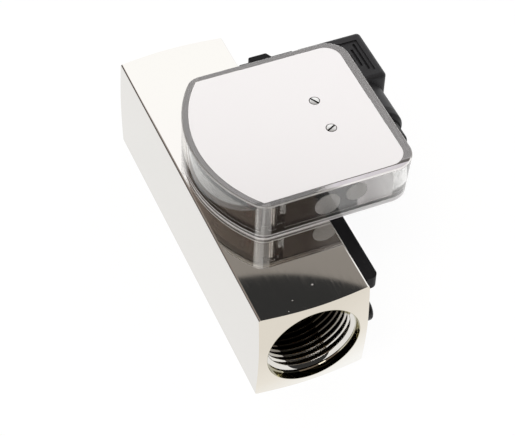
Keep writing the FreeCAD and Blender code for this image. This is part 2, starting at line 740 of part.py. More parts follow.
def make_top_plate():
    """Bright cover plate, let into the rim of the clear wall."""
    body = new_body("top_plate", x=s.pivot_x, z=s.body_width)
    right = case_reach - s.case_side - s.plate_gap
    half = post_corner_y - s.plate_gap
    add(body, "sheet", "XY_Plane", plate_under, s.case_height,
        display_outline(rebate_radius - s.plate_gap, half, right))
    corner = s.case_corner - s.case_wall - s.plate_gap
    soften(body, corner, lambda edge: runs_along(edge, Z_AXIS) and lies(edge, x=right))
    holes = [circle(0, sign * s.standoff_y, s.screw_radius + s.fit_gap) for sign in BOTH_WAYS]
    cut(body, "holes", "XY_Plane", plate_under, s.case_height, *holes)
    seats = [circle(0, sign * s.standoff_y, s.screw_head + s.rest_gap) for sign in BOTH_WAYS]
    cut(body, "seats", "XY_Plane", s.case_height - s.plate_sink, s.case_height, *seats)
    return body


def make_slotted_screw(label, x, y, seat, length, slot_turn):
    """Small slotted screw that points down, its head on the seat."""
    body = new_body(label, x=x, y=y, z=seat)
    body.Placement.Rotation = Rotation(Z_AXIS, slot_turn)
    crown = s.screw_head - s.head_bevel
    shoulder = s.head_height - s.head_bevel
    profile = polygon((0, -length), (s.screw_radius, -length), (s.screw_radius, 0), (s.screw_head, 0),
                      (s.screw_head, shoulder), (crown, s.head_height), (0, s.head_height))
    turn(body, "profile", "XZ_Plane", "V_Axis", profile)
    reach = s.screw_head * 2
    cut(body, "slot", "XY_Plane", s.head_height - s.slot_depth, s.head_height,
        rectangle(-reach, -s.slot_width / 2, reach, s.slot_width / 2))
    return body


def make_plate_screws():
    """The two screws that show in the cover plate, slots turned as they stand, in degrees."""
    turns = {-1: 26, 1: -59}
    level = s.body_width + s.case_height - s.plate_sink
    screws = []
    for sign, slot_turn in turns.items():
        label = f"plate_screw{sign + 1}"
        y = sign * s.standoff_y
        screws.append(make_slotted_screw(label, s.pivot_x, y, level, s.plate_screw, slot_turn))
    return group("plate_screws", screws)


def make_case_screws():
    """Screws down through the clear posts into the body."""
    level = s.body_width + plate_under - post_sink
    length = plate_under - post_sink + case_well - s.rest_gap
    x = s.pivot_x + post_x
    screws = []
    for sign in BOTH_WAYS:
        screws.append(make_slotted_screw(f"case_screw{sign + 1}", x, sign * post_y, level, length, 0))
    return group("case_screws", screws)


def make_standoffs():
    """Pillars on the base plate, with a stud down into the bracket and a tapped hole on top."""
    pillars = []
    hole = s.screw_radius + s.fit_gap
    bottom = s.case_floor - s.stud_length
    depth = bridge_under - s.plate_screw
    for sign in BOTH_WAYS:
        body = new_body(f"standoff{sign + 1}", x=s.pivot_x, y=sign * s.standoff_y, z=s.body_width)
        profile = polygon((0, bottom), (s.stud_radius, bottom), (s.stud_radius, s.case_floor),
                          (s.standoff_radius, s.case_floor), (s.standoff_radius, bridge_under),
                          (hole, bridge_under), (hole, depth), (0, depth))
        turn(body, "profile", "XZ_Plane", "V_Axis", profile)
        pillars.append(body)
    return group("standoffs", pillars)


def make_pivot_shaft():
    """Steel pin of the pointer, from the boss to the bridge."""
    body = new_body("pivot_shaft", x=s.pivot_x, z=s.body_width)
    add(body, "pin", "XY_Plane", 0, plate_under, circle(0, 0, s.shaft_radius))
    return body


def make_bearing_bridge():
    """Strip across the pillars that steadies the pin's upper end."""
    body = new_body("bearing_bridge", x=s.pivot_x, z=s.body_width)
    half = s.bridge_width / 2
    end = s.standoff_y + half
    add(body, "strip", "XY_Plane", bridge_under, plate_under, rectangle(-half, -end, half, end))
    soften(body, s.bridge_round, lambda edge: runs_along(edge, Z_AXIS))
    holes = [circle(0, 0, s.shaft_radius + s.fit_gap)]
    holes += [circle(0, sign * s.standoff_y, s.screw_radius + s.fit_gap) for sign in BOTH_WAYS]
    cut(body, "holes", "XY_Plane", bridge_under, plate_under, *holes)
    return body


def make_scale_strip():
    """Thin curved scale that stands on the base plate behind the curved wall."""
    body = new_body("scale_strip", x=s.pivot_x, z=s.body_width)
    strip = rectangle(-scale_outer, s.case_floor, -scale_inner, s.case_floor + s.scale_height)
    band = turn(body, "band", "XZ_Plane", "V_Axis", strip)
    bind(band, "Angle", half_scale * 2)
    band.Midplane = True
    doc.recompute()
    return body


def pointer_body(label):
    """A body of the pointer, turned to the zero end of its swing."""
    body = new_body(label, x=s.pivot_x, z=s.body_width)
    body.Placement.Rotation = Rotation(Z_AXIS, float(half_swing))
    bind(body, "Placement.Rotation.Angle", half_swing)
    return body


def make_pointer_hub():
    """Brass hub that turns on the pin."""
    body = pointer_body("pointer_hub")
    eye = s.shaft_radius + s.run_gap
    top = hub_foot + s.hub_height
    profile = polygon((eye, hub_foot), (s.hub_radius, hub_foot), (s.hub_radius, arm_under),
                      (s.hub_neck, arm_under), (s.hub_neck, top), (eye, top))
    turn(body, "profile", "XZ_Plane", "V_Axis", profile)
    return body


def make_pointer_arm():
    """Flat tapered arm with an eye, a seat for the magnet, a tail and an upright blade at its tip."""
    body = pointer_body("pointer_arm")
    top = arm_under + s.arm_thickness
    blade_start = s.blade_length - s.arm_reach
    add(body, "bar", "XY_Plane", arm_under, top,
        polygon((-s.arm_reach, -s.arm_tip), (weight_reach, -s.arm_root),
                (weight_reach, s.arm_root), (-s.arm_reach, s.arm_tip)))
    add(body, "eye", "XY_Plane", arm_under, top, circle(0, 0, s.hub_radius + s.arm_margin))
    add(body, "seat", "XY_Plane", arm_under, top, circle(-s.pivot_x, 0, s.drive_radius + s.arm_margin))
    add(body, "tail", "XY_Plane", arm_under, top, circle(weight_reach, 0, s.weight_radius))
    middle = arm_under + s.arm_thickness / 2
    add(body, "blade", "XY_Plane", middle - s.blade_height / 2, middle + s.blade_height / 2,
        rectangle(-s.arm_reach, -s.arm_tip, blade_start, s.arm_tip))
    cut(body, "hole", "XY_Plane", arm_under, top, circle(0, 0, s.hub_neck + s.fit_gap))
    return body


def make_pointer_magnet():
    """Magnet under the arm, over the flow axis, that follows the float's magnet."""
    body = pointer_body("pointer_magnet")
    low = s.case_floor + s.drive_gap
    add(body, "disc", "XY_Plane", low, arm_under, circle(-s.pivot_x, 0, s.drive_radius))
    bevel(body, s.drive_bevel, lambda edge: lies(edge, z=low))
    return body


def make_pointer_counterweight():
    """Weight under the arm's tail."""
    body = pointer_body("pointer_counterweight")
    low = arm_under - s.weight_height
    add(body, "disc", "XY_Plane", low, arm_under, circle(weight_reach, 0, s.weight_radius))
    return body


def make_switch_bracket():
    """Moulded bracket: a web on the body's side, and a flange under the display with a long tongue."""
    body = new_body("switch_bracket", x=body_side)
    top = s.body_width
    shelf_start = -s.switch_front - s.flange_round
    plan = polygon((0, -s.case_half), (s.tongue_width, -s.case_half), (s.tongue_width, shelf_start),
                   (s.switch_depth, shelf_start), (s.switch_depth, switch_rear), (0, switch_rear))
    add(body, "flange", "XY_Plane", flange_under, top, plan)
    tongue_top = top - s.tongue_drop
    tongue = rectangle(0, -bracket_front, s.tongue_width, -s.case_half)
    add(body, "tongue", "XY_Plane", flange_under, tongue_top, tongue)
    soften(body, tongue_corner, lambda edge: runs_along(edge, Z_AXIS)
           and lies(edge, x=s.tongue_width, y=-bracket_front))
    soften(body, s.flange_round, lambda edge: runs_along(edge, Z_AXIS) and lies(edge, y=shelf_start))
    side = polygon((-bracket_front, s.web_bottom), (bracket_rear, s.web_bottom),
                   (bracket_rear, s.ear_top), (switch_rear, s.ear_top),
                   (switch_rear, top), (-s.case_half, top),
                   (-s.case_half, tongue_top), (-bracket_front, tongue_top))
    add(body, "web", "YZ_Plane", 0, s.web_thickness, side)
    soften(body, s.flange_round, lambda edge: runs_along(edge, X_AXIS)
           and abs(edge.CenterOfMass.x - s.web_thickness / 2) < NEAR and edge.CenterOfMass.z < flange_under)
    tab_end = s.tab_start + s.tab_width
    tab = polygon((s.tab_start, switch_rear), (tab_end, switch_rear),
                  (tab_end - s.tab_slope, switch_rear + s.tab_length),
                  (s.tab_start, switch_rear + s.tab_length))
    add(body, "tab", "XY_Plane", top - s.tab_height, top, tab)
    soften(body, s.tab_round, lambda edge: runs_along(edge, Z_AXIS)
           and edge.CenterOfMass.y > switch_rear + NEAR)
    stud_x = s.pivot_x - body_side
    studs = [circle(stud_x, sign * s.standoff_y, s.stud_radius + s.fit_gap) for sign in BOTH_WAYS]
    cut(body, "stud_holes", "XY_Plane", flange_under, top, *studs)
    holes = [circle(y, s.pan_z, s.pan_shank + s.fit_gap) for y in pan_places]
    cut(body, "screw_holes", "YZ_Plane", 0, s.web_thickness, *holes)
    return body


def make_bracket_screws():
    """Round-headed screws through the bracket's web into the body."""
    screws = []
    for index, y in enumerate(pan_places):
        body = new_body(f"bracket_screw{index}", x=body_side + s.web_thickness, y=y, z=s.pan_z)
        tip = s.rest_gap - s.web_thickness - bracket_well
        profile = polygon((tip, 0), (tip, s.pan_shank), (0, s.pan_shank), (0, s.pan_radius),
                          (s.pan_height, s.pan_radius), (s.pan_height, 0))
        turn(body, "profile", "XY_Plane", "H_Axis", profile)
        soften(body, s.pan_round, lambda edge: lies(edge, x=s.pan_height) and not runs_along(edge, Y_AXIS))
        slot = rectangle(-s.pan_radius, -s.slot_width / 2, s.pan_radius, s.slot_width / 2)
        cut(body, "slot", "YZ_Plane", s.pan_height - s.slot_deep, s.pan_height, slot)
        screws.append(body)
    return group("bracket_screws", screws)


def cover_screw_places():
    """Heights of the two cover screws at the front of the switch."""
    inset = s.switch_wall + s.cover_post / 2
    y = inset - s.switch_front
    return [(y, s.switch_bottom + inset), (y, flange_under - inset)]


def make_switch_box():
    """Box of the limit switch under the flange, open towards its cover."""
    body = new_body("switch_box", x=body_side)
    wall = s.switch_wall
    outline = rectangle(-s.switch_front, s.switch_bottom, switch_rear, flange_under)
    add(body, "block", "YZ_Plane", s.web_thickness, cover_inner, outline)
    soften(body, wall, lambda edge: runs_along(edge, X_AXIS) and edge.CenterOfMass.z < flange_under - NEAR)
    room = rectangle(wall - s.switch_front, s.switch_bottom + wall, switch_rear - wall, flange_under - wall)
    cut(body, "room", "YZ_Plane", s.web_thickness + wall, cover_inner, room)
    posts = [circle(y, z, s.cover_post) for y, z in cover_screw_places()]
    for index, post in enumerate(posts):
        add(body, f"post{index}", "YZ_Plane", s.web_thickness, cover_inner, post)
    holes = [circle(y, z, s.screw_radius + s.fit_gap) for y, z in cover_screw_places()]
    cut(body, "screw_holes", "YZ_Plane", cover_inner - s.cover_screw, cover_inner, *holes)
    return body


def make_switch_cover():
    """Flat cover of the switch box, which carries the plug."""
    body = new_body("switch_cover", x=body_side)
    outline = rectangle(-s.switch_front, s.switch_bottom, switch_rear, flange_under)
    add(body, "sheet", "YZ_Plane", cover_inner, s.switch_depth, outline)
    soften(body, s.switch_wall, lambda edge: runs_along(edge, X_AXIS)
           and edge.CenterOfMass.z < flange_under - NEAR)
    holes = [circle(y, z, s.screw_radius + s.fit_gap) for y, z in cover_screw_places()]
    holes.append(circle(plug_y, flange_under - s.switch_wall - s.wire_hole, s.wire_hole))
    cut(body, "holes", "YZ_Plane", cover_inner, s.switch_depth, *holes)
    return body


def make_cover_screws():
    """Two small screws at the front of the switch cover."""
    screws = []
    for index, (y, z) in enumerate(cover_screw_places()):
        body = new_body(f"cover_screw{index}", x=switch_face, y=y, z=z)
        tip = s.rest_gap - s.cover_thickness - s.cover_screw
        profile = polygon((tip, 0), (tip, s.screw_radius), (0, s.screw_radius), (0, s.screw_head),
                          (s.head_height, s.screw_head), (s.head_height, 0))
        turn(body, "profile", "XY_Plane", "H_Axis", profile)
        slot = rectangle(-s.screw_head, -s.slot_width / 2, s.screw_head, s.slot_width / 2)
        cut(body, "slot", "YZ_Plane", s.head_height - s.slot_depth, s.head_height, slot)
        screws.append(body)
    return group("cover_screws", screws)


def make_reed_carrier():
    """Saddle on the box's inner wall that holds the switch beside the float's path."""
    back = s.web_thickness + s.switch_wall
    body = new_body("reed_carrier", x=body_side + back, z=flow_z)
    half = s.carrier_width / 2
    end = saddle_front + s.carrier_length
    add(body, "block", "YZ_Plane", 0, s.carrier_depth, rectangle(saddle_front, -half, end, half))
    cut(body, "groove", "XZ_Plane", saddle_front, end,
        circle(s.carrier_depth, 0, s.reed_radius + s.fit_gap))
    return body


def make_reed_switch():
    """Glass capsule with a lead at each end, in the saddle's groove."""
    out = body_side + s.web_thickness + s.switch_wall + s.carrier_depth
    body = new_body("reed_switch", x=out, y=saddle_front + s.carrier_length / 2, z=flow_z)
    half = s.reed_length / 2
    end = half + s.lead_length
    profile = [(0, end), (s.lead_radius, end), (s.lead_radius, half),
               (s.reed_radius - s.reed_taper, half), (s.reed_radius, half - s.reed_taper)]
    turn(body, "profile", "XY_Plane", "V_Axis", polygon(*mirrored(profile)))
    return body


def plug_body(label):
    """A body of the plug: local X outwards from the switch, about the plug's middle."""
    return new_body(label, x=switch_face, y=plug_y, z=plug_z)


def plug_rectangle(inset):
    """The plug's outline, or one inside it."""
    y = s.plug_length / 2 - inset
    z = s.plug_width / 2 - inset
    return rectangle(-y, -z, y, z)


def pin_places():
    """Two contacts across and the earth contact below the plug's middle."""
    return [(-s.pin_offset, 0), (s.pin_offset, 0), (0, -s.pin_offset)]


def pin_outline(y, z, gap):
    """Section of one flat contact, upright beside the middle and level below it."""
    wide = s.pin_width / 2 + gap
    thin = s.pin_thickness / 2 + gap
    if z == 0:
        return rectangle(y - thin, z - wide, y + thin, z + wide)
    return rectangle(y - wide, z - thin, y + wide, z + thin)


def make_connector_base():
    """Socket base on the switch cover, with slots for the contacts."""
    body = plug_body("connector_base")
    add(body, "sheet", "YZ_Plane", 0, s.base_thickness, plug_rectangle(s.panel_depth))
    soften(body, s.plug_round, lambda edge: runs_along(edge, X_AXIS))
    slots = [pin_outline(y, z, s.fit_gap) for y, z in pin_places()]
    cut(body, "slots", "YZ_Plane", 0, s.base_thickness, *slots)
    cut(body, "thread", "YZ_Plane", 0, s.base_thickness, circle(0, 0, s.bolt_radius + s.fit_gap))
    return body


def make_contact_pins():
    """The flat contacts that stand in the base."""
    pins = []
    for index, (y, z) in enumerate(pin_places()):
        body = plug_body(f"contact_pin{index}")
        add(body, "blade", "YZ_Plane", 0, s.base_thickness + s.pin_length, pin_outline(y, z, 0))
        pins.append(body)
    return group("contact_pins", pins)


def make_plug_gasket():
    """Flat rubber frame between base and plug."""
    body = plug_body("plug_gasket")
    hole = rectangle(-s.gasket_hole, -s.gasket_hole, s.gasket_hole, s.gasket_hole)
    add(body, "frame", "YZ_Plane", s.base_thickness, gasket_face, plug_rectangle(0), hole)
    corner = s.plug_length / 2 - NEAR
    soften(body, s.plug_round, lambda edge: runs_along(edge, X_AXIS) and abs(edge.CenterOfMass.y) > corner)
    return body


def make_plug_housing():
    """Angled plug: rounded hollow block with a grooved panel above and below and a gland neck in front."""
    body = plug_body("plug_housing")
    add(body, "block", "YZ_Plane", gasket_face, plug_top, plug_rectangle(0))
    soften(body, s.plug_round, lambda edge: edge.CenterOfMass.x > gasket_face + NEAR)
    neck_root = plug_front + s.plug_wall
    add(body, "neck", "XZ_Plane", neck_end, neck_root, circle(gland_out, 0, s.neck_radius))
    add(body, "thread", "XZ_Plane", thread_end, neck_end, circle(gland_out, 0, s.thread_radius))
    room_end = gasket_face + s.plug_cavity
    cut(body, "room", "YZ_Plane", gasket_face, room_end, plug_rectangle(s.plug_wall))
    cut(body, "cable_way", "XZ_Plane", thread_end, neck_root, circle(gland_out, 0, s.gland_bore))
    cut(body, "bolt_hole", "YZ_Plane", room_end, plug_top, circle(0, 0, s.bolt_radius + s.fit_gap))
    bolt_seat = circle(0, 0, s.bolt_head + s.fit_gap)
    cut(body, "bolt_seat", "YZ_Plane", plug_top - s.bolt_sink, plug_top, bolt_seat)
    side = s.plug_width / 2
    for sign in BOTH_WAYS:
        cut_grip(body, f"grip{sign + 1}", sign * side, sign)
    return body


def cut_grip(body, name, face, sign):
    """A shallow panel on the top or bottom of the plug, with grooves that get shorter inwards."""
    panel_low = gasket_face + s.panel_inset
    panel_high = plug_top - s.panel_inset
    half_y = s.plug_length / 2 - s.panel_end
    levels = sorted([face, face - sign * s.panel_depth])
    cut(body, f"{name}_panel", "XY_Plane", levels[0], levels[1],
        rectangle(panel_low, -half_y, panel_high, half_y))
    floor = face - sign * s.panel_depth
    levels = sorted([floor, floor - sign * s.groove_depth])
    grooves = []
    for index in range(GROOVES):
        x = panel_high - (index + 1) * s.groove_pitch
        half = s.groove_length / 2 - index * s.groove_step
        grooves.append(rectangle(x - s.groove_width / 2, -half, x + s.groove_width / 2, half))
    cut(body, f"{name}_grooves", "XY_Plane", levels[0], levels[1], *grooves)


def make_plug_insert():
    """Contact insert in the plug, which the base's pins enter."""
    body = plug_body("plug_insert")
    end = gasket_face + s.insert_depth
    add(body, "block", "YZ_Plane", gasket_face, end, plug_rectangle(s.plug_wall + s.fit_gap))
    depth = s.base_thickness + s.pin_length + s.rest_gap
    slots = [pin_outline(y, z, s.fit_gap * 2) for y, z in pin_places()]
    cut(body, "slots", "YZ_Plane", gasket_face, depth, *slots)
    cut(body, "bolt_hole", "YZ_Plane", gasket_face, end, circle(0, 0, s.bolt_radius + s.fit_gap))
    return body


def make_plug_screw():
    """Central screw through plug and insert into the base."""
    body = plug_body("plug_screw")
    seat = plug_top - s.bolt_sink
    head_top = plug_top - s.bolt_recess
    profile = polygon((0, 0), (0, s.bolt_radius), (seat, s.bolt_radius), (seat, s.bolt_head),
                      (head_top, s.bolt_head), (head_top, 0))
    turn(body, "profile", "XY_Plane", "H_Axis", profile)
    slot = rectangle(-s.bolt_head, -s.slot_width / 2, s.bolt_head, s.slot_width / 2)
    cut(body, "slot", "YZ_Plane", head_top - s.slot_deep, head_top, slot)
    return body


def gland_body(label):
    """A body on the gland's axis, which runs along Y."""
    return new_body(label, x=switch_face + gland_out, y=plug_y, z=plug_z)


def make_gland_nut():
    """Domed nut on the neck's thread."""
    body = gland_body("gland_nut")
    eye = s.collar_radius + s.fit_gap
    inner = s.thread_radius + s.fit_gap
    shoulder = neck_end - s.nut_straight
    profile = polygon((inner, neck_end), (s.nut_radius, neck_end), (s.nut_radius, shoulder),
                      (s.nut_dome, nut_front), (eye, nut_front), (eye, thread_end), (inner, thread_end))
    turn(body, "profile", "XY_Plane", "V_Axis", profile)
    soften(body, s.nut_round, lambda edge: lies(edge, y=shoulder))
    return body


def make_gland_seal():
    """Rubber seal in the neck, with a collar that stands out of the nut."""
    body = gland_body("gland_seal")
    front = nut_front - s.collar_length
    inner_end = thread_end + s.seal_depth
    stem = s.gland_bore - s.fit_gap
    profile = polygon((s.cable_radius, front), (s.collar_radius, front), (s.collar_radius, thread_end),
                      (stem, thread_end), (stem, inner_end), (s.cable_radius, inner_end))
    turn(body, "profile", "XY_Plane", "V_Axis", profile)
    bevel(body, s.collar_bevel, lambda edge: lies(edge, y=front)
          and edge.Curve.Radius > s.cable_radius + NEAR)
    return body


PARTS = [
    make_flow_body(),
    make_metering_sleeve(),
    make_guide("inlet_guide", -1),
    make_guide("outlet_guide", 1),
    make_retaining_rings(),
    make_guide_rod(),
    make_float(),
    make_float_magnet(),
    make_float_cap(),
    make_return_spring(),
    make_base_plate(),
    make_display_case(),
    make_top_plate(),
    make_plate_screws(),
    make_case_screws(),
    make_standoffs(),
    make_pivot_shaft(),
    make_bearing_bridge(),
    make_scale_strip(),
    make_pointer_hub(),
    make_pointer_arm(),
    make_pointer_magnet(),
    make_pointer_counterweight(),
    make_switch_bracket(),
    make_bracket_screws(),
    make_switch_box(),
    make_switch_cover(),
    make_cover_screws(),
    make_reed_carrier(),
    make_reed_switch(),
    make_connector_base(),
    make_contact_pins(),
    make_plug_gasket(),
    make_plug_housing(),
    make_plug_insert(),
    make_plug_screw(),
    make_gland_nut(),
    make_gland_seal(),
]

doc.recompute()
for thing in doc.Objects:
    if "Invalid" in thing.State or "Error" in thing.State:
        raise ValueError(f"{thing.Label} failed to build")
for part in PARTS:
    if part.Shape.isNull() or not part.Shape.isValid():
        raise ValueError(f"{part.Label} has no valid shape")

os.makedirs("parts", exist_ok=True)
for part in PARTS:
    part.Shape.exportStep(f"parts/{part.Label}.step")
    box = part.Shape.BoundBox
    print(f"{part.Label}: {len(part.Shape.Solids)} solids, {part.Shape.Volume:.1f} mm3, "
          f"{box.XLength:.1f} x {box.YLength:.1f} x {box.ZLength:.1f} mm")
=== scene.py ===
# %% [markdown]
# # Dressing a variable area flow meter
# The solids of the meter come ready from CAD: a plated square bar with a pipe thread at each end, a clear
# display on top of it, and a black limit switch with an angled plug at its side. Here they get their finishes,
# their cut threads, their printed scale and a few small pieces, and a small white studio to stand in.

# %% Load the solids
import json
import math

import bmesh
import bpy
from mathutils import Matrix, Vector


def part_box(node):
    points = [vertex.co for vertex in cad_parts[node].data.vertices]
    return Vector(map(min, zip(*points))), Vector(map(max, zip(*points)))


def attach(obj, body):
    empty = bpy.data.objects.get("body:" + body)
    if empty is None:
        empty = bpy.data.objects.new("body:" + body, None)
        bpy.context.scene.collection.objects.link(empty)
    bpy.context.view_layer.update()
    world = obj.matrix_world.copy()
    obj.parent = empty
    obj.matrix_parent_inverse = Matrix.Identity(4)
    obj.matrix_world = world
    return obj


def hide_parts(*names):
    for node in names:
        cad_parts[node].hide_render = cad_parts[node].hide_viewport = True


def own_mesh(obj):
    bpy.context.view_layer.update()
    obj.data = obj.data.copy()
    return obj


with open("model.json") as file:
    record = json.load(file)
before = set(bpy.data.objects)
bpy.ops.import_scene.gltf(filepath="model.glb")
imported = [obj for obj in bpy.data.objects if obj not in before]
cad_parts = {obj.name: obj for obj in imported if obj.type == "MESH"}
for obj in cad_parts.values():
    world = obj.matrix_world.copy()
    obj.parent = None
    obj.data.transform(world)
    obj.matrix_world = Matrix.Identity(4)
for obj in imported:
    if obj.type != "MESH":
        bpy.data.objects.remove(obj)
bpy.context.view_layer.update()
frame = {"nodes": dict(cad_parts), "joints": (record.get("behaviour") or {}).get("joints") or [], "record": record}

nodes = frame["nodes"]

# %% [markdown]
# ## Camera
# The photograph looks down on the near end of the bar from its left. The bar's straight edges are the best
# ruler in such a picture, so the place, the turn and the lens below were fitted to the corners of the bar.
# A long lens from about 0.66 m keeps the edges nearly parallel. The lean is the small tilt of the picture.

# %% Camera
eye = Vector((-0.1766, -0.3931, 0.5037))
look = Vector((0.28111, 0.59871, -0.75001)).normalized()
lean = math.radians(2.65)
level_right = look.cross(Vector((0, 0, 1))).normalized()
level_up = level_right.cross(look)
right = math.cos(lean) * level_right + math.sin(lean) * level_up
up = math.cos(lean) * level_up - math.sin(lean) * level_right

bpy.ops.object.select_all(action="DESELECT")
bpy.ops.object.camera_add(location=eye, rotation=Matrix((right, up, -look)).transposed().to_euler())
camera = bpy.context.object
camera.name = "photo_camera"
camera.data.sensor_width = 36
camera.data.lens = 127.1
camera.data.clip_start = 0.01
bpy.context.scene.camera = camera
print("camera height in mm:", round(1000 * eye.z))

# %% [markdown]
# ## Helpers for finishes
# A finish is a small tree of nodes that ends in one shader. Each pattern below reads Object coordinates, which
# are metres on the part itself, so it stays in place from every side and at every pose. A Mapping node sets the
# size of the pattern, and a Map Range turns the texture's 0 to 1 into the range that the shader needs.

# %% Helpers for finishes
MM = 0.001


def new_finish(name, **values):
    """A material and its shader, with the values that are the same all over set on the shader itself."""
    finish = bpy.data.materials.new(name)
    finish.use_nodes = True
    shader = finish.node_tree.nodes["Principled BSDF"]
    for socket, value in values.items():
        shader.inputs[socket.replace("_", " ")].default_value = value
    return finish, finish.node_tree, shader


def feed(tree, shader, **patterns):
    """Link each pattern to the shader's socket of that name."""
    for socket, pattern in patterns.items():
        tree.links.new(pattern, shader.inputs[socket.replace("_", " ")])


def on_part(tree, size):
    """The place on the part, counted in pattern sizes along X, Y and Z, each given in metres."""
    place = tree.nodes.new("ShaderNodeTexCoord")
    mapping = tree.nodes.new("ShaderNodeMapping")
    mapping.inputs["Scale"].default_value = [1 / s for s in size]
    tree.links.new(place.outputs["Object"], mapping.inputs["Vector"])
    return mapping.outputs["Vector"]


def noise(tree, size, detail=3):
    """A cloudy pattern from 0 to 1."""
    cloud = tree.nodes.new("ShaderNodeTexNoise")
    cloud.inputs["Scale"].default_value = 1
    cloud.inputs["Detail"].default_value = detail
    tree.links.new(on_part(tree, size), cloud.inputs["Vector"])
    return cloud.outputs["Fac"]


def stretch(tree, value, start, end, low, high):
    """The value's range from start to end becomes low to high."""
    change = tree.nodes.new("ShaderNodeMapRange")
    for socket, number in zip(("From Min", "From Max", "To Min", "To Max"), (start, end, low, high)):
        change.inputs[socket].default_value = number
    tree.links.new(value, change.inputs["Value"])
    return change.outputs["Result"]


def relief(tree, shader, height, depth):
    """Fine unevenness of the surface, depth in metres."""
    bump = tree.nodes.new("ShaderNodeBump")
    bump.inputs["Distance"].default_value = depth
    tree.links.new(height, bump.inputs["Height"])
    feed(tree, shader, Normal=bump.outputs["Normal"])


# %% Helpers for colours
def grey(level):
    """A colour without a tint."""
    return (level, level, level)


def tint(tree, value, *steps):
    """A colour for each value: steps are pairs of a place from 0 to 1 and a colour."""
    ramp = tree.nodes.new("ShaderNodeValToRGB")
    marks = ramp.color_ramp.elements
    while len(marks) < len(steps):
        marks.new(0.5)
    for mark, (place, colour) in zip(marks, steps):
        mark.position = place
        mark.color = (*colour, 1)
    tree.links.new(value, ramp.inputs["Fac"])
    return ramp.outputs["Color"]


def blend(tree, amount, first, second):
    """The first colour where the amount is 0, the second where it is 1."""
    mix = tree.nodes.new("ShaderNodeMix")
    mix.data_type = "RGBA"
    for socket, value in zip(("Factor", "A", "B"), (amount, first, second)):
        if isinstance(value, tuple):
            mix.inputs[socket].default_value = (*value, 1)
        else:
            tree.links.new(value, mix.inputs[socket])
    return mix.outputs["Result"]


# %% [markdown]
# ## White table and studio
# The meter stands on a seamless white table that is bright enough to lose its shadows. The table is a wide
# plane with a little light of its own. The sky is a gradient: white up to about 48 degrees, then a grey-brown
# ceiling. On the camera's side and on the left the darker room starts lower. Plating shows its surroundings, so
# dark cards stand out of sight: a round one high behind the meter gives the dark arched band on the near end of
# the bar, a flag at the left draws its edges, and a wide one behind the camera darkens the threads.

# %% White table
TABLE_WIDTH, TABLE_GLOW = 6, 0.93
bpy.ops.mesh.primitive_plane_add(size=TABLE_WIDTH, location=(0, 0, 0))
table = bpy.context.object
table.name = "white_table"
paper, tree, shader = new_finish("white_paper", Roughness=0.8, Specular_IOR_Level=0.1,
                                 Emission_Color=(1, 1, 1, 1), Emission_Strength=TABLE_GLOW)
feed(tree, shader, Base_Color=tint(tree, noise(tree, (0.4,) * 3), (0.3, grey(0.08)), (0.7, grey(0.09))))
table.data.materials.append(paper)
print("table:", table.dimensions.x, "m wide")

# %% Sky
CEILING_EDGE, SKY_STRENGTH = 0.742, 1.33
WHITE, PINK_WHITE = grey(1.0), (1.0, 0.985, 1.0)
CEILING, ROOM = (0.25, 0.23, 0.21), (0.27, 0.22, 0.195)

sky = bpy.data.worlds.new("studio_sky")
sky.use_nodes = True
bpy.context.scene.world = sky
tree = sky.node_tree
direction = tree.nodes.new("ShaderNodeTexCoord")
towards = tree.nodes.new("ShaderNodeSeparateXYZ")
tree.links.new(direction.outputs["Generated"], towards.inputs["Vector"])
height = towards.outputs["Z"]
far_side = tint(tree, height, (0.0, WHITE), (0.70, WHITE), (CEILING_EDGE, PINK_WHITE), (0.756, CEILING),
                (1.0, CEILING))
left_side = tint(tree, height, (0.0, WHITE), (0.45, WHITE), (0.55, ROOM), (1.0, ROOM))
near_side = tint(tree, height, (0.0, WHITE), (0.30, WHITE), (0.45, ROOM), (1.0, ROOM))
to_left = stretch(tree, towards.outputs["X"], -0.08, -0.2, 0, 1)
to_near = stretch(tree, towards.outputs["Y"], -0.15, -0.32, 0, 1)
sky_colour = blend(tree, to_near, blend(tree, to_left, far_side, left_side), near_side)
background = tree.nodes["Background"]
background.inputs["Strength"].default_value = SKY_STRENGTH
tree.links.new(sky_colour, background.inputs["Color"])
bpy.context.scene.view_settings.view_transform = "Standard"
print("sky: white to", round(math.degrees(math.asin(CEILING_EDGE))), "degrees")

# %% Black of the cards
soft_black, tree, shader = new_finish("soft_black_card", Base_Color=(*grey(0.035), 1), Roughness=1.0,
                                      Specular_IOR_Level=0)
from_centre = tree.nodes.new("ShaderNodeVectorMath")
from_centre.operation = "LENGTH"
tree.links.new(on_part(tree, (1, 1, 1)), from_centre.inputs[0])
feed(tree, shader, Alpha=stretch(tree, from_centre.outputs["Value"], 0.985, 1.0, 1, 0))
print("finish: soft_black_card, with a soft edge")


# %% Dark cards
def dark_card(name, about, azimuth, elevation, distance, size):
    """A round soft-edged card that faces a point; azimuth counts from +Y towards +X, in degrees."""
    a, e = math.radians(azimuth), math.radians(elevation)
    outwards = Vector((math.sin(a) * math.cos(e), math.cos(a) * math.cos(e), math.sin(e)))
    bpy.ops.object.select_all(action="DESELECT")
    bpy.ops.mesh.primitive_circle_add(vertices=96, radius=1, fill_type="NGON", location=about + distance * outwards,
                                      rotation=outwards.to_track_quat("Z", "Y").to_euler())
    card = bpy.context.object
    card.name = name
    card.scale = (*size, 1)
    card.visible_camera = card.visible_shadow = card.visible_diffuse = card.visible_transmission = False
    card.data.materials.append(soft_black)
    print("card:", name, [round(x, 2) for x in card.location])


near_top, middle = Vector((5 * MM, -50 * MM, 40 * MM)), Vector((0, 0, 0))
dark_card("round_card", near_top, azimuth=27.4, elevation=61.6, distance=1.6, size=(0.32, 0.32))
dark_card("left_flag", middle, azimuth=-48, elevation=17, distance=1.3, size=(0.5, 0.40))
dark_card("rear_card", middle, azimuth=164, elevation=21, distance=1.0, size=(1.1, 0.42))

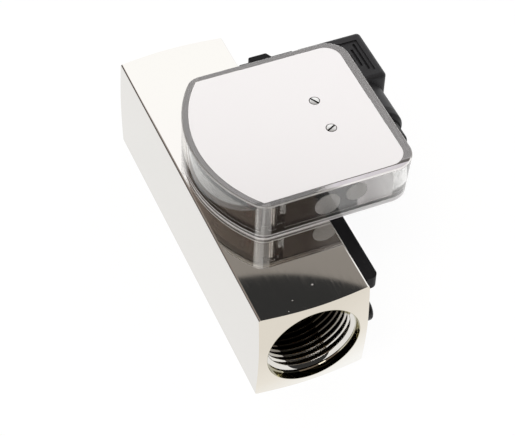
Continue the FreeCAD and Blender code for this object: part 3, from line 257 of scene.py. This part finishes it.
# %% Overhead lamp
LAMP_SIZE, LAMP_WATTS = 1.2, 12
bpy.ops.object.light_add(type="AREA", location=(-0.5, -0.5, 1.7))
lamp = bpy.context.object
lamp.name = "overhead_lamp"
lamp.data.size = LAMP_SIZE
lamp.data.energy = LAMP_WATTS
lamp.rotation_euler = (middle - lamp.location).to_track_quat("-Z", "Y").to_euler()
print("lamp:", lamp.data.energy, "W")

# %% [markdown]
# ## Polished nickel
# The bar is brass, ground flat, polished and nickel plated. Nickel is a slightly warm mirror with fine
# polishing scratches along the bar. The scratches are a noise stretched along Y, and they go into the roughness
# and a very shallow relief. The turned ends are a little warmer than the long sides, and painted light makes them
# lighter towards the lower right. Painted shade darkens the ports over the first few turns of the thread, to near
# black deep inside. Three small scuffs lie on the near end.

# %% Helpers for places on the part
def axes(tree, letters):
    """The place on the part along the named axes, in metres."""
    split = tree.nodes.new("ShaderNodeSeparateXYZ")
    tree.links.new(on_part(tree, (1, 1, 1)), split.inputs["Vector"])
    return [split.outputs[letter] for letter in letters]


def facing(tree, letter):
    """How far the surface faces along the named axis, from -1 to 1."""
    surface = tree.nodes.new("ShaderNodeNewGeometry")
    split = tree.nodes.new("ShaderNodeSeparateXYZ")
    tree.links.new(surface.outputs["Normal"], split.inputs["Vector"])
    return split.outputs[letter]


def calc(tree, operation, first, second=0.0):
    """One sum of two values, each a number or a node's output."""
    node = tree.nodes.new("ShaderNodeMath")
    node.operation = operation
    for socket, value in zip(node.inputs, (first, second)):
        if isinstance(value, (int, float)):
            socket.default_value = value
        else:
            tree.links.new(value, socket)
    return node.outputs["Value"]


def both(tree, first, *others):
    """High only where all the values are high: their product."""
    for value in others:
        first = calc(tree, "MULTIPLY", first, value)
    return first


def most(tree, first, *others):
    """The highest of the values."""
    for value in others:
        first = calc(tree, "MAXIMUM", first, value)
    return first


def away(tree, first, second):
    """The distance of a place from a point, from its two differences."""
    return calc(tree, "SQRT", calc(tree, "ADD", both(tree, first, first), both(tree, second, second)))


# %% Nickel: gloss and scuffs
SCUFFS = ((-6.3, -60.3, 0.30), (2.5, -56.5, 0.45), (-9.3, -64.0, 0.25))  # x, y and radius in mm
nickel, tree, shader = new_finish("polished_nickel", Metallic=1.0)
x, y, z = axes(tree, "XYZ")
scratches = noise(tree, (0.15 * MM, 9 * MM, 0.15 * MM), detail=4)
clouds = noise(tree, (14 * MM,) * 3, detail=2)
gloss = calc(tree, "ADD", stretch(tree, scratches, 0.45, 0.75, 0.015, 0.05),
             stretch(tree, clouds, 0.3, 0.7, 0.0, 0.01))
on_top = stretch(tree, z, 39.7 * MM, 39.9 * MM, 0, 1)
for scuff_x, scuff_y, radius in SCUFFS:
    from_scuff = away(tree, calc(tree, "SUBTRACT", x, scuff_x * MM), calc(tree, "SUBTRACT", y, scuff_y * MM))
    scuff = stretch(tree, from_scuff, 0.2 * radius * MM, radius * MM, 0.4, 0)
    gloss = calc(tree, "ADD", gloss, both(tree, scuff, on_top))
feed(tree, shader, Roughness=gloss)
relief(tree, shader, scratches, 0.0001 * MM)
print("scuffs:", len(SCUFFS))

# %% Nickel: colour
AXIS_Z = 20 * MM
LONG_SIDE, PORT_METAL, STEP_METAL = (0.73, 0.715, 0.685), (0.73, 0.71, 0.67), (0.36, 0.34, 0.22)
# Painted light: the turned ends get a warmer tint that grows lighter towards their lower right.
slant = calc(tree, "SUBTRACT", z, calc(tree, "MULTIPLY", x, 0.4))
end_tint_and_painted_light = tint(tree, stretch(tree, slant, -4 * MM, 34 * MM, 0, 1), (0.0, (0.92, 0.91, 0.87)),
              (0.45, (0.79, 0.745, 0.66)), (1.0, (0.71, 0.66, 0.575)))
endwise = stretch(tree, calc(tree, "ABSOLUTE", facing(tree, "Y")), 0.5, 0.7, 0, 1)
outside = blend(tree, endwise, LONG_SIDE, end_tint_and_painted_light)
# Painted shade: in the ports the colour darkens to near black deep inside and lightens to the metal towards the
# mouth; the step at the mouth is coloured darker.
from_middle = stretch(tree, calc(tree, "ABSOLUTE", y), 48 * MM, 66 * MM, 0, 1)
inside = tint(tree, from_middle, (0.0, (0.03, 0.025, 0.018)), (0.25, (0.06, 0.05, 0.04)), (0.45, (0.34, 0.32, 0.28)),
              (0.60, PORT_METAL), (0.83, PORT_METAL), (0.85, STEP_METAL), (1.0, STEP_METAL))
from_axis = away(tree, x, calc(tree, "SUBTRACT", z, AXIS_Z))
in_port = stretch(tree, from_axis, 17.05 * MM, 17.1 * MM, 1, 0)
feed(tree, shader, Base_Color=blend(tree, in_port, outside, inside))
print("finish: polished_nickel")

# %% [markdown]
# ## Clear display
# The wall and the floor of the display are moulded in clear plastic. Light passes through and bends, so the
# shader transmits, with the index of polycarbonate. A real moulding is never optically flat: a slow vertical
# waviness breaks up what is seen through the posts and the wall. Nor is it clear all over. The rim is hazy and
# its rounding pale, with a painted white highlight at the near right, the foot and the corners are frosted, and
# a painted shadow of the gap runs along the edge of the cover. Each of these is a share of haze, which is taken
# off the transmission, and some bring a colour of their own.

# %% Clear wall: haze of the rim
POLYCARBONATE = 1.58
clear_wall, tree, shader = new_finish("clear_wall", IOR=POLYCARBONATE)
x, y, z = axes(tree, "XYZ")
upward = facing(tree, "Z")
near = stretch(tree, y, -29 * MM, -30 * MM, 0, 1)
high = stretch(tree, z, 55.1 * MM, 55.2 * MM, 0, 1)
rim_haze = calc(tree, "ADD", both(tree, near, stretch(tree, x, 16 * MM, 21 * MM, -0.10, 0.42)), 0.24)
rim = both(tree, stretch(tree, z, 55.85 * MM, 55.95 * MM, 0, 1), stretch(tree, upward, 0.8, 0.95, 0, 1), rim_haze)
rim_round = both(tree, high, stretch(tree, upward, 0.05, 0.12, 0, 0.4), stretch(tree, upward, 0.88, 0.98, 1, 0))
# Painted highlight: white haze on the rim's rounding at the near right.
near_right = both(tree, near, stretch(tree, x, 16 * MM, 24 * MM, 0, 1))
painted_highlight_round = both(tree, near_right, stretch(tree, upward, 0.1, 0.3, 0, 0.9),
                    stretch(tree, upward, 0.93, 0.99, 1, 0), high)

# %% Clear wall: haze of the sides
foot = stretch(tree, z, 41.95 * MM, 41.85 * MM, 0, 0.6)
corner = both(tree, stretch(tree, x, -2.0 * MM, -2.4 * MM, 0, 0.25),
              stretch(tree, calc(tree, "ABSOLUTE", y), 30.7 * MM, 31.1 * MM, 0, 1))
along_wall = tint(tree, stretch(tree, x, 10 * MM, 50 * MM, 0, 1), (0.05, grey(0.0)), (0.3, grey(0.06)),
                  (0.5, grey(0.06)), (0.62, grey(0.02)), (0.95, grey(0.33)))
front = both(tree, along_wall, stretch(tree, y, -27 * MM, -30 * MM, 0, 1))
haze = most(tree, rim, rim_round, painted_highlight_round, foot, corner, front)
feed(tree, shader, Transmission_Weight=calc(tree, "SUBTRACT", 1.0, haze))

# %% Clear wall: colour and waviness
waves = noise(tree, (1.1 * MM, 1.1 * MM, 30 * MM), detail=2)
plate_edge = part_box("top_plate")[0].y
# Painted shadow of the gap: a dark line on the rim along the edge of the cover plate.
gap_painted_shadow = both(tree, rim, stretch(tree, y, plate_edge - 0.45 * MM, plate_edge - 0.3 * MM, 0, 1.6), near)
plastic = tint(tree, waves, (0.3, (0.90, 0.90, 0.885)), (0.7, (0.95, 0.95, 0.935)))
for amount, colour in ((rim, (0.94, 0.90, 1.0)), (gap_painted_shadow, (0.10, 0.09, 0.08)), (rim_round, (0.58, 0.54, 0.50)),
                       (painted_highlight_round, WHITE)):
    plastic = blend(tree, amount, plastic, colour)
feed(tree, shader, Base_Color=plastic, Roughness=stretch(tree, waves, 0.3, 0.7, 0.0, 0.02))
relief(tree, shader, both(tree, waves, stretch(tree, upward, 0.5, 0.9, 1, 0)), 0.004 * MM)
print("finish: clear_wall, seam at", round(1000 * plate_edge, 1), "mm")

# %% Clear floor
clear_floor, tree, shader = new_finish("clear_floor", IOR=POLYCARBONATE)
x, z = axes(tree, "XZ")
ripples = noise(tree, (6 * MM,) * 3, detail=2)
on_edge = stretch(tree, calc(tree, "ABSOLUTE", facing(tree, "Z")), 0.3, 0.6, 1, 0)
low_edge = both(tree, on_edge, stretch(tree, z, 40.45 * MM, 40.6 * MM, 0.7, 0))
right_edge = both(tree, on_edge, stretch(tree, x, 10 * MM, 30 * MM, 0.15, 0.55))
haze = most(tree, low_edge, right_edge, stretch(tree, ripples, 0.3, 0.7, 0.02, 0.05))
plastic = tint(tree, ripples, (0.3, (0.90, 0.89, 0.90)), (0.7, (0.95, 0.945, 0.95)))
# Painted shade: right of the bar the floor's colour darkens, most near 35 mm out, and lightens again towards its
# right end.
shade = tint(tree, stretch(tree, x, 20 * MM, 50 * MM, 0, 1), (0.0, (0.80, 0.77, 0.775)), (0.3, (0.55, 0.52, 0.525)),
             (0.5, (0.36, 0.335, 0.335)), (0.7, (0.46, 0.44, 0.445)), (1.0, (0.58, 0.57, 0.575)))
shaded = both(tree, stretch(tree, x, 20 * MM, 26 * MM, 0, 1), calc(tree, "SUBTRACT", 1.0, on_edge))
feed(tree, shader, Base_Color=blend(tree, shaded, plastic, shade),
     Transmission_Weight=calc(tree, "SUBTRACT", 1.0, haze), Roughness=stretch(tree, ripples, 0.3, 0.7, 0.04, 0.12))
relief(tree, shader, ripples, 0.03 * MM)
print("finish: clear_floor")

# %% [markdown]
# ## Satin cover plate
# The cover is a sheet with a very fine, nearly white satin surface. A metal with a middling roughness
# blurs the white studio into one even tone, and a fine grain keeps it from looking like paper. Its underside
# is left dark, with painted light making it a little lighter on the left, where the curved wall lets the light in.

# %% Satin sheet
satin, tree, shader = new_finish("satin_sheet", Metallic=0.3)
x, z = axes(tree, "XZ")
grain = noise(tree, (0.25 * MM,) * 3)
sheen = tint(tree, grain, (0.35, (0.89, 0.885, 0.895)), (0.65, (0.93, 0.925, 0.935)))
# Painted light: the dark underside is lighter towards the left, where the curved wall lets light in.
from_left = stretch(tree, x, -2 * MM, 16 * MM, 0, 1)
underside_with_painted_light = tint(tree, from_left, (0.0, (0.42, 0.38, 0.32)), (1.0, (0.12, 0.09, 0.08)))
below_top = stretch(tree, z, 55.97 * MM, 55.9 * MM, 0, 1)
feed(tree, shader, Base_Color=blend(tree, below_top, sheen, underside_with_painted_light),
     Roughness=stretch(tree, grain, 0.3, 0.7, 0.18, 0.26))
relief(tree, shader, grain, 0.0015 * MM)
print("finish: satin_sheet")

# %% [markdown]
# ## Turned, moulded and small parts
# The remaining finishes share one recipe: a grain at the size that the real surface has, showing a little in the
# colour, in the gloss and in the relief. Turned steel and brass are fine and glossy, moulded black plastic has
# a dull spark-eroded texture, rubber is duller still. The slotted heads of the cover screws have a bright face,
# and painted shade darkens them down their rounded edge and into the slot, so their colour follows the height.

# %% Metals
def grained(name, dark, light, smooth, rough, size, depth, **values):
    """A finish with one grain that shows in its colour, its gloss and its relief."""
    finish, tree, shader = new_finish(name, **values)
    grain = noise(tree, (size,) * 3)
    feed(tree, shader, Base_Color=tint(tree, grain, (0.35, dark), (0.65, light)),
         Roughness=stretch(tree, grain, 0.3, 0.7, smooth, rough))
    relief(tree, shader, grain, depth)
    print("finish:", name)
    return finish


steel = grained("turned_steel", grey(0.50), (0.60, 0.60, 0.59), 0.22, 0.36, 0.2 * MM, 0.002 * MM, Metallic=1.0)
brass = grained("turned_brass", (0.72, 0.52, 0.25), (0.80, 0.61, 0.31), 0.18, 0.32, 0.3 * MM, 0.002 * MM,
                Metallic=1.0)
wire = grained("spring_wire", (0.44, 0.44, 0.45), grey(0.58), 0.2, 0.35, 0.3 * MM, 0.002 * MM, Metallic=1.0)
ferrite = grained("sintered_ferrite", (0.035, 0.035, 0.038), (0.075, 0.075, 0.08), 0.5, 0.75, 0.5 * MM, 0.01 * MM)
black_steel = grained("blackened_steel", grey(0.012), grey(0.03), 0.3, 0.45, 0.4 * MM, 0.004 * MM, Metallic=0.6)

# %% Slotted heads
slotted_head, tree, shader = new_finish("slotted_head", Metallic=1.0)
height = stretch(tree, axes(tree, "Z")[0], 55.2 * MM, 56.2 * MM, 0, 1)
turning = noise(tree, (0.15 * MM,) * 3)
# Painted shade: the head is dark below its flat face, down the rounded edge and in the slot.
head_face_and_painted_shade = tint(tree, height, (0.30, grey(0.01)), (0.70, grey(0.03)), (0.785, grey(0.24)), (0.797, (0.80, 0.80, 0.79)))
feed(tree, shader, Base_Color=head_face_and_painted_shade, Roughness=stretch(tree, turning, 0.3, 0.7, 0.30, 0.45))
relief(tree, shader, turning, 0.002 * MM)
print("finish: slotted_head")

# %% Plastics, rubber, lacquer and glass
moulded_black = grained("moulded_black", (0.005, 0.005, 0.006), (0.009, 0.009, 0.010), 0.36, 0.52, 0.35 * MM,
                        0.006 * MM, Specular_IOR_Level=0.12)
plug_grey = grained("plug_grey", (0.016, 0.016, 0.018), (0.026, 0.026, 0.029), 0.40, 0.55, 0.35 * MM, 0.008 * MM,
                    Specular_IOR_Level=0.25)
black_rubber = grained("black_rubber", grey(0.010), grey(0.018), 0.6, 0.8, 0.5 * MM, 0.01 * MM)
nylon = grained("natural_nylon", (0.66, 0.64, 0.58), (0.75, 0.73, 0.68), 0.4, 0.55, 0.6 * MM, 0.006 * MM)
red_lacquer = grained("red_lacquer", (0.10, 0.012, 0.012), (0.15, 0.02, 0.018), 0.3, 0.45, 0.8 * MM, 0.003 * MM)
film = grained("scale_film", (0.60, 0.55, 0.47), (0.66, 0.60, 0.52), 0.0, 0.02, 1.5 * MM, 0.0003 * MM,
               Transmission_Weight=0.96, IOR=1.8)
reed_glass = grained("reed_glass", (0.70, 0.86, 0.76), (0.80, 0.92, 0.84), 0.03, 0.08, 1.5 * MM, 0.002 * MM,
                     Transmission_Weight=1.0, IOR=1.5)

# %% [markdown]
# ## Dress the solids
# The record says which slot each solid takes its finish from, so one table of slots dresses them all. The floor
# of the display and the shell of the plug share a slot with their neighbours but look a little different, so
# they get their own finish afterwards.

# %% Dress the solids
finishes = {"nickel": nickel, "clear": clear_wall, "bright_plate": satin, "steel": steel, "brass": brass,
            "magnet": ferrite, "spring": wire, "pointer_red": red_lacquer, "scale_film": film,
            "black_plastic": moulded_black, "black_steel": black_steel, "rubber": black_rubber,
            "reed_glass": reed_glass, "white_plastic": nylon}
for row in frame["record"]["subparts"]:
    solid = nodes[row["node"]]
    solid.data.materials.clear()
    solid.data.materials.append(finishes[row["material_slot"]])
nodes["base_plate"].data.materials[0] = clear_floor
nodes["plug_housing"].data.materials[0] = plug_grey

# %% [markdown]
# ## Pipe threads
# Each port has an inch pipe thread, cut into the wall with a pitch of 2.309 mm. It could be drawn in the relief
# of the material, but the ridges catch the light one by one, so they are real. One section of the ridge is
# shaped from a plane that lies through the axis of the port, and a Screw modifier winds it round that axis. The
# thread of the other port is a copy, turned half round.

# %% Helpers for modelling
def select_only(*pieces):
    """Object mode with just these pieces selected, the first of them active."""
    if bpy.context.object and bpy.context.object.mode != "OBJECT":
        bpy.ops.object.mode_set(mode="OBJECT")
    bpy.ops.object.select_all(action="DESELECT")
    for piece in pieces:
        piece.select_set(True)
    if pieces:
        bpy.context.view_layer.objects.active = pieces[0]


def pick(piece, test):
    """In edit mode, select the points whose place passes the test."""
    bpy.ops.mesh.select_mode(type="VERT")
    bpy.ops.mesh.select_all(action="DESELECT")
    shape = bmesh.from_edit_mesh(piece.data)
    for point in shape.verts:
        point.select = test(point.co)
    shape.select_flush(True)
    bmesh.update_edit_mesh(piece.data)


def turn_outwards():
    """Turn all faces of the piece in edit mode outwards, and leave edit mode."""
    bpy.ops.mesh.select_all(action="SELECT")
    bpy.ops.mesh.normals_make_consistent(inside=False)
    bpy.ops.object.mode_set(mode="OBJECT")


def smooth(degrees):
    """Smooth the faces of the active piece that meet at less than this angle."""
    bpy.ops.object.shade_smooth_by_angle(angle=math.radians(degrees))


def apply_place(piece):
    """Put the piece's place into its mesh and leave its object at the origin."""
    select_only(piece)
    bpy.ops.object.transform_apply(location=True, rotation=True, scale=True)


def copy_of(piece):
    """A copy of the piece with a mesh of its own."""
    select_only(piece)
    bpy.ops.object.duplicate()
    return bpy.context.object


def joined(name, *pieces):
    """The pieces as one, each in its place."""
    for piece in pieces:
        apply_place(piece)
    select_only(*pieces)
    bpy.ops.object.join()
    pieces[0].name = name
    return pieces[0]


def finished(piece, body, finish):
    """Say what the piece rides on and takes its finish from."""
    piece.data.materials.clear()
    piece.data.materials.append(finish)
    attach(piece, body)
    print("piece:", piece.name, len(piece.data.polygons), "faces")


# %% One ridge of the thread
PITCH = 2.309 * MM
ROOT, CREST, SUNK = 16.62 * MM, 15.15 * MM, 0.25 * MM
FOOT_WIDTH, CREST_SHARE, CREST_ROUND = 0.96 * PITCH, 0.16, 0.12 * MM
THREAD_START, THREAD_TURNS = -62.6 * MM, 8.2

select_only()
bpy.ops.mesh.primitive_plane_add(size=1, location=(0, THREAD_START, AXIS_Z + (ROOT + SUNK + CREST) / 2),
                                 rotation=(0, -math.pi / 2, 0))
thread = bpy.context.object
thread.name = "inlet_thread"
bpy.ops.object.mode_set(mode="EDIT")
bpy.ops.transform.resize(value=(1, FOOT_WIDTH, ROOT + SUNK - CREST))
pick(thread, lambda place: place.x < 0)
bpy.ops.transform.resize(value=(1, CREST_SHARE, 1))
bpy.ops.mesh.bevel(offset=CREST_ROUND, segments=3, affect="VERTICES")
bpy.ops.object.mode_set(mode="OBJECT")
print("section points:", len(thread.data.vertices))


# %% Wind the ridge
def wind(piece, start, turns, rise, steps):
    """Wind the piece's section round the bore's axis, from start on by rise, and close its two ends."""
    bpy.context.scene.cursor.location = (0, start, AXIS_Z)
    bpy.ops.object.origin_set(type="ORIGIN_CURSOR")
    winding = piece.modifiers.new("winding", "SCREW")
    winding.axis = "Y"
    winding.angle = turns * math.tau
    winding.screw_offset = rise
    winding.steps = winding.render_steps = round(steps * turns)
    winding.use_normal_calculate = True
    bpy.ops.object.modifier_apply(modifier="winding")
    apply_place(piece)
    bpy.ops.object.mode_set(mode="EDIT")
    bpy.ops.mesh.select_mode(type="EDGE")
    bpy.ops.mesh.select_all(action="DESELECT")
    bpy.ops.mesh.select_non_manifold(extend=False)
    bpy.ops.mesh.edge_face_add()
    turn_outwards()
    smooth(40)


wind(thread, THREAD_START, THREAD_TURNS, THREAD_TURNS * PITCH, steps=72)
print("thread:", THREAD_TURNS, "turns")

# %% Copy it to the other port
far_thread = copy_of(thread)
far_thread.name = "outlet_thread"
bpy.ops.transform.rotate(value=math.pi, orient_axis="Z", center_override=(0, 0, 0))
apply_place(far_thread)
finished(thread, "body", nickel)
finished(far_thread, "body", nickel)

# %% [markdown]
# ## Return spring
# A coil of six turns pushes the float back to zero. The solid coil is rigid, so at full flow the float would run
# through it. A wound wire of the same size takes its place: a circle is wound round the axis like the thread.

# %% Return spring
WIRE, COIL_RADIUS, COIL_TURNS = 0.45 * MM, 3.9 * MM, 6
coil_low, coil_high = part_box("return_spring")
coil_length = coil_high.y - coil_low.y

select_only()
bpy.ops.mesh.primitive_circle_add(vertices=16, radius=WIRE, location=(COIL_RADIUS, coil_low.y + WIRE, AXIS_Z))
coil = bpy.context.object
coil.name = "spring_coil"
wind(coil, coil_low.y + WIRE, COIL_TURNS, coil_length - 2 * WIRE, steps=48)
finished(coil, "body", wire)
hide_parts("return_spring")
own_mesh(coil)

# %% [markdown]
# ## Cover screws
# Two slotted screws hold the cover plate. The heads of the solids came out larger than the real ones, so smaller
# screws take their place, and a thin collar of the same sheet narrows each seat. A screw starts as a disc: it is
# pulled up to a head, its top edge is rounded, and an inset and a pull downwards give the shank. A thin block cuts
# the slot as a Boolean modifier, and the second screw is a copy that is turned another way.

# %% One cover screw
SOLID_HEAD, SOLID_HEIGHT = 2.15 * MM, 0.9 * MM
HEAD, HEAD_HEIGHT, HEAD_ROUND, SHANK = 1.8 * MM, 0.6 * MM, 0.15 * MM, 1.25 * MM
screws_low, screws_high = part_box("plate_screws")
seat = Vector(((screws_low.x + screws_high.x) / 2, screws_high.y - SOLID_HEAD, screws_high.z - SOLID_HEIGHT))

select_only()
bpy.ops.mesh.primitive_circle_add(vertices=64, radius=HEAD, fill_type="NGON", location=seat)
screw = bpy.context.object
bpy.ops.object.mode_set(mode="EDIT")
bpy.ops.mesh.extrude_region_move(TRANSFORM_OT_translate={"value": (0, 0, HEAD_HEIGHT)})
bpy.ops.mesh.bevel(offset=HEAD_ROUND, segments=3)
pick(screw, lambda place: place.z < 0.01 * MM)
bpy.ops.mesh.inset(thickness=HEAD - SHANK)
bpy.ops.mesh.extrude_region_move(TRANSFORM_OT_translate={"value": (0, 0, screws_low.z - seat.z)})
turn_outwards()
print("screw without its slot:", len(screw.data.polygons), "faces")

# %% Slot in the head
SLOT_WIDTH, SLOT_DEPTH = 0.68 * MM, 0.45 * MM
select_only()
bpy.ops.mesh.primitive_cube_add(size=1, location=seat + Vector((0, 0, HEAD_HEIGHT)))
slot_block = bpy.context.object
slot_block.scale = (3 * HEAD, SLOT_WIDTH, 2 * SLOT_DEPTH)
select_only(screw)
slot_cut = screw.modifiers.new("slot", "BOOLEAN")
slot_cut.operation = "DIFFERENCE"
slot_cut.object = slot_block
bpy.ops.object.modifier_apply(modifier="slot")
bpy.data.objects.remove(slot_block)
smooth(20)
print("screw:", len(screw.data.polygons), "faces")


# %% Both cover screws
def pair(name, piece, turns=(0, 0)):
    """The piece and a copy at the other screw's place, each turned by its own angle in degrees, as one."""
    twin = copy_of(piece)
    twin.location.y = -piece.location.y
    for half, turn in zip((piece, twin), turns):
        half.rotation_euler.z = math.radians(turn)
    return joined(name, piece, twin)


cover_screws = pair("plate_screw_pair", screw, turns=(-59, 26))
finished(cover_screws, "body", slotted_head)
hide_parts("plate_screws")

# %% Collars round the heads
COLLAR_OUTSIDE, COLLAR_INSIDE, COLLAR_PROUD = 2.48 * MM, 1.98 * MM, 0.004 * MM
collar_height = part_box("top_plate")[1].z - seat.z + COLLAR_PROUD
select_only()
bpy.ops.mesh.primitive_circle_add(vertices=64, radius=COLLAR_OUTSIDE, fill_type="NGON", location=seat)
collar = bpy.context.object
bpy.ops.object.mode_set(mode="EDIT")
bpy.ops.mesh.inset(thickness=COLLAR_OUTSIDE - COLLAR_INSIDE)
bpy.ops.mesh.delete(type="FACE")
bpy.ops.mesh.select_all(action="SELECT")
bpy.ops.mesh.extrude_region_move(TRANSFORM_OT_translate={"value": (0, 0, collar_height)})
turn_outwards()
smooth(40)
finished(pair("seat_collars", collar), "body", satin)

# %% [markdown]
# ## Printed scale
# Behind the curved wall stands a lightly tinted clear strip with the scale printed on its inner face: short ticks
# near its foot and plain numbers above them. Ink could be a texture, but at this size crisp shapes of a few
# hundredths of a millimetre read better. One tick is shaped from a cube and spun round the pointer's pin in
# copies. The numbers are text, made a mesh before they are put in place.

# %% Ink
ink, tree, shader = new_finish("scale_ink")
spread = noise(tree, (0.3 * MM,) * 3)
feed(tree, shader, Base_Color=tint(tree, spread, (0.3, (0.018, 0.008, 0.008)), (0.7, (0.035, 0.014, 0.013))),
     Roughness=stretch(tree, spread, 0.3, 0.7, 0.35, 0.55))
print("finish: scale_ink")

# %% Ticks
STRIP_THICK, INK = 0.4 * MM, 0.05 * MM
SWEEP = math.radians(64)
pivot = Vector(next(j["pos_m"] for j in frame["joints"] if j["name"] == "pointer_swing"))
strip_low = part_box("scale_strip")[0]
print_radius = pivot.x - strip_low.x - STRIP_THICK
tick_foot = strip_low.z + 0.4 * MM


def add_ticks(count, width, height):
    """A row of ticks of one size, added to the piece in edit mode and spun over the pointer's sweep."""
    bpy.ops.mesh.select_all(action="DESELECT")
    bpy.ops.mesh.primitive_cube_add(size=1, location=(pivot.x - print_radius + INK / 2, 0, tick_foot + height / 2))
    bpy.ops.transform.resize(value=(1.4 * INK, width, height))
    bpy.ops.mesh.bevel(offset=0.2 * INK, segments=1)
    bpy.ops.transform.rotate(value=-SWEEP / 2, orient_axis="Z", center_override=pivot)
    bpy.ops.mesh.spin(steps=count - 1, dupli=True, angle=SWEEP, center=pivot, axis=(0, 0, 1))


select_only()
bpy.ops.mesh.primitive_cube_add(size=1)
ticks = bpy.context.object
ticks.name = "scale_ticks"
bpy.ops.object.mode_set(mode="EDIT")
bpy.ops.mesh.delete(type="VERT")
add_ticks(21, 0.55 * MM, 2.0 * MM)
add_ticks(5, 0.8 * MM, 3.4 * MM)
apply_place(ticks)
finished(ticks, "body", ink)

# %% Numbers
NUMBER_SIZE, NUMBER_RISE = 4.6 * MM, 5.2 * MM
NUMBERS = (0, 10, 20, 30, 40)
select_only()
numbers = []
for step, value in enumerate(NUMBERS):
    turn = SWEEP / 2 - step * SWEEP / (len(NUMBERS) - 1)
    spot = pivot + Matrix.Rotation(turn, 3, "Z") @ Vector((INK / 2 - print_radius, 0, 0))
    spot.z = strip_low.z + NUMBER_RISE
    bpy.ops.object.text_add(location=spot, rotation=(math.pi / 2, 0, turn - math.pi / 2))
    number = bpy.context.object
    number.data.body = str(value)
    number.data.align_x = "CENTER"
    number.data.size = NUMBER_SIZE
    number.data.extrude = 0.7 * INK
    bpy.ops.object.convert(target="MESH")
    numbers.append(bpy.context.object)
finished(joined("scale_numbers", *numbers), "body", ink)

# %% [markdown]
# ## Round marks on the front wall
# Two pale round spots show in the clear front wall, and one of them again in its mirror image on the bar, so
# they sit on the wall itself: low frosted bosses on its inner face. Each starts as a disc on that face, is pulled
# inwards, and gets a rounded edge.

# %% Wall marks
WALL, MARK_HEIGHT, MARK_SUNK = 3.3 * MM, 0.5 * MM, 0.02 * MM
mark_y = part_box("display_case")[0].y + WALL - MARK_SUNK
frosted = grained("frosted_clear", (0.50, 0.49, 0.48), (0.60, 0.59, 0.58), 0.7, 0.85, 0.5 * MM, 0.01 * MM,
                  Specular_IOR_Level=0.2)


def wall_mark(name, x, z, radius):
    """A low rounded boss on the inner face of the front wall."""
    select_only()
    bpy.ops.mesh.primitive_circle_add(vertices=48, radius=radius, fill_type="NGON", location=(x, mark_y, z),
                                      rotation=(-math.pi / 2, 0, 0))
    mark = bpy.context.object
    mark.name = name
    bpy.ops.object.mode_set(mode="EDIT")
    bpy.ops.mesh.extrude_region_move(TRANSFORM_OT_translate={"value": (0, MARK_HEIGHT, 0)})
    bpy.ops.mesh.bevel(offset=0.8 * MARK_HEIGHT, segments=5)
    turn_outwards()
    smooth(40)
    apply_place(mark)
    finished(mark, "body", frosted)


wall_mark("wall_mark_left", 19.1 * MM, 46.9 * MM, 4.7 * MM)
wall_mark("wall_mark_right", 29.8 * MM, 49.0 * MM, 3.9 * MM)
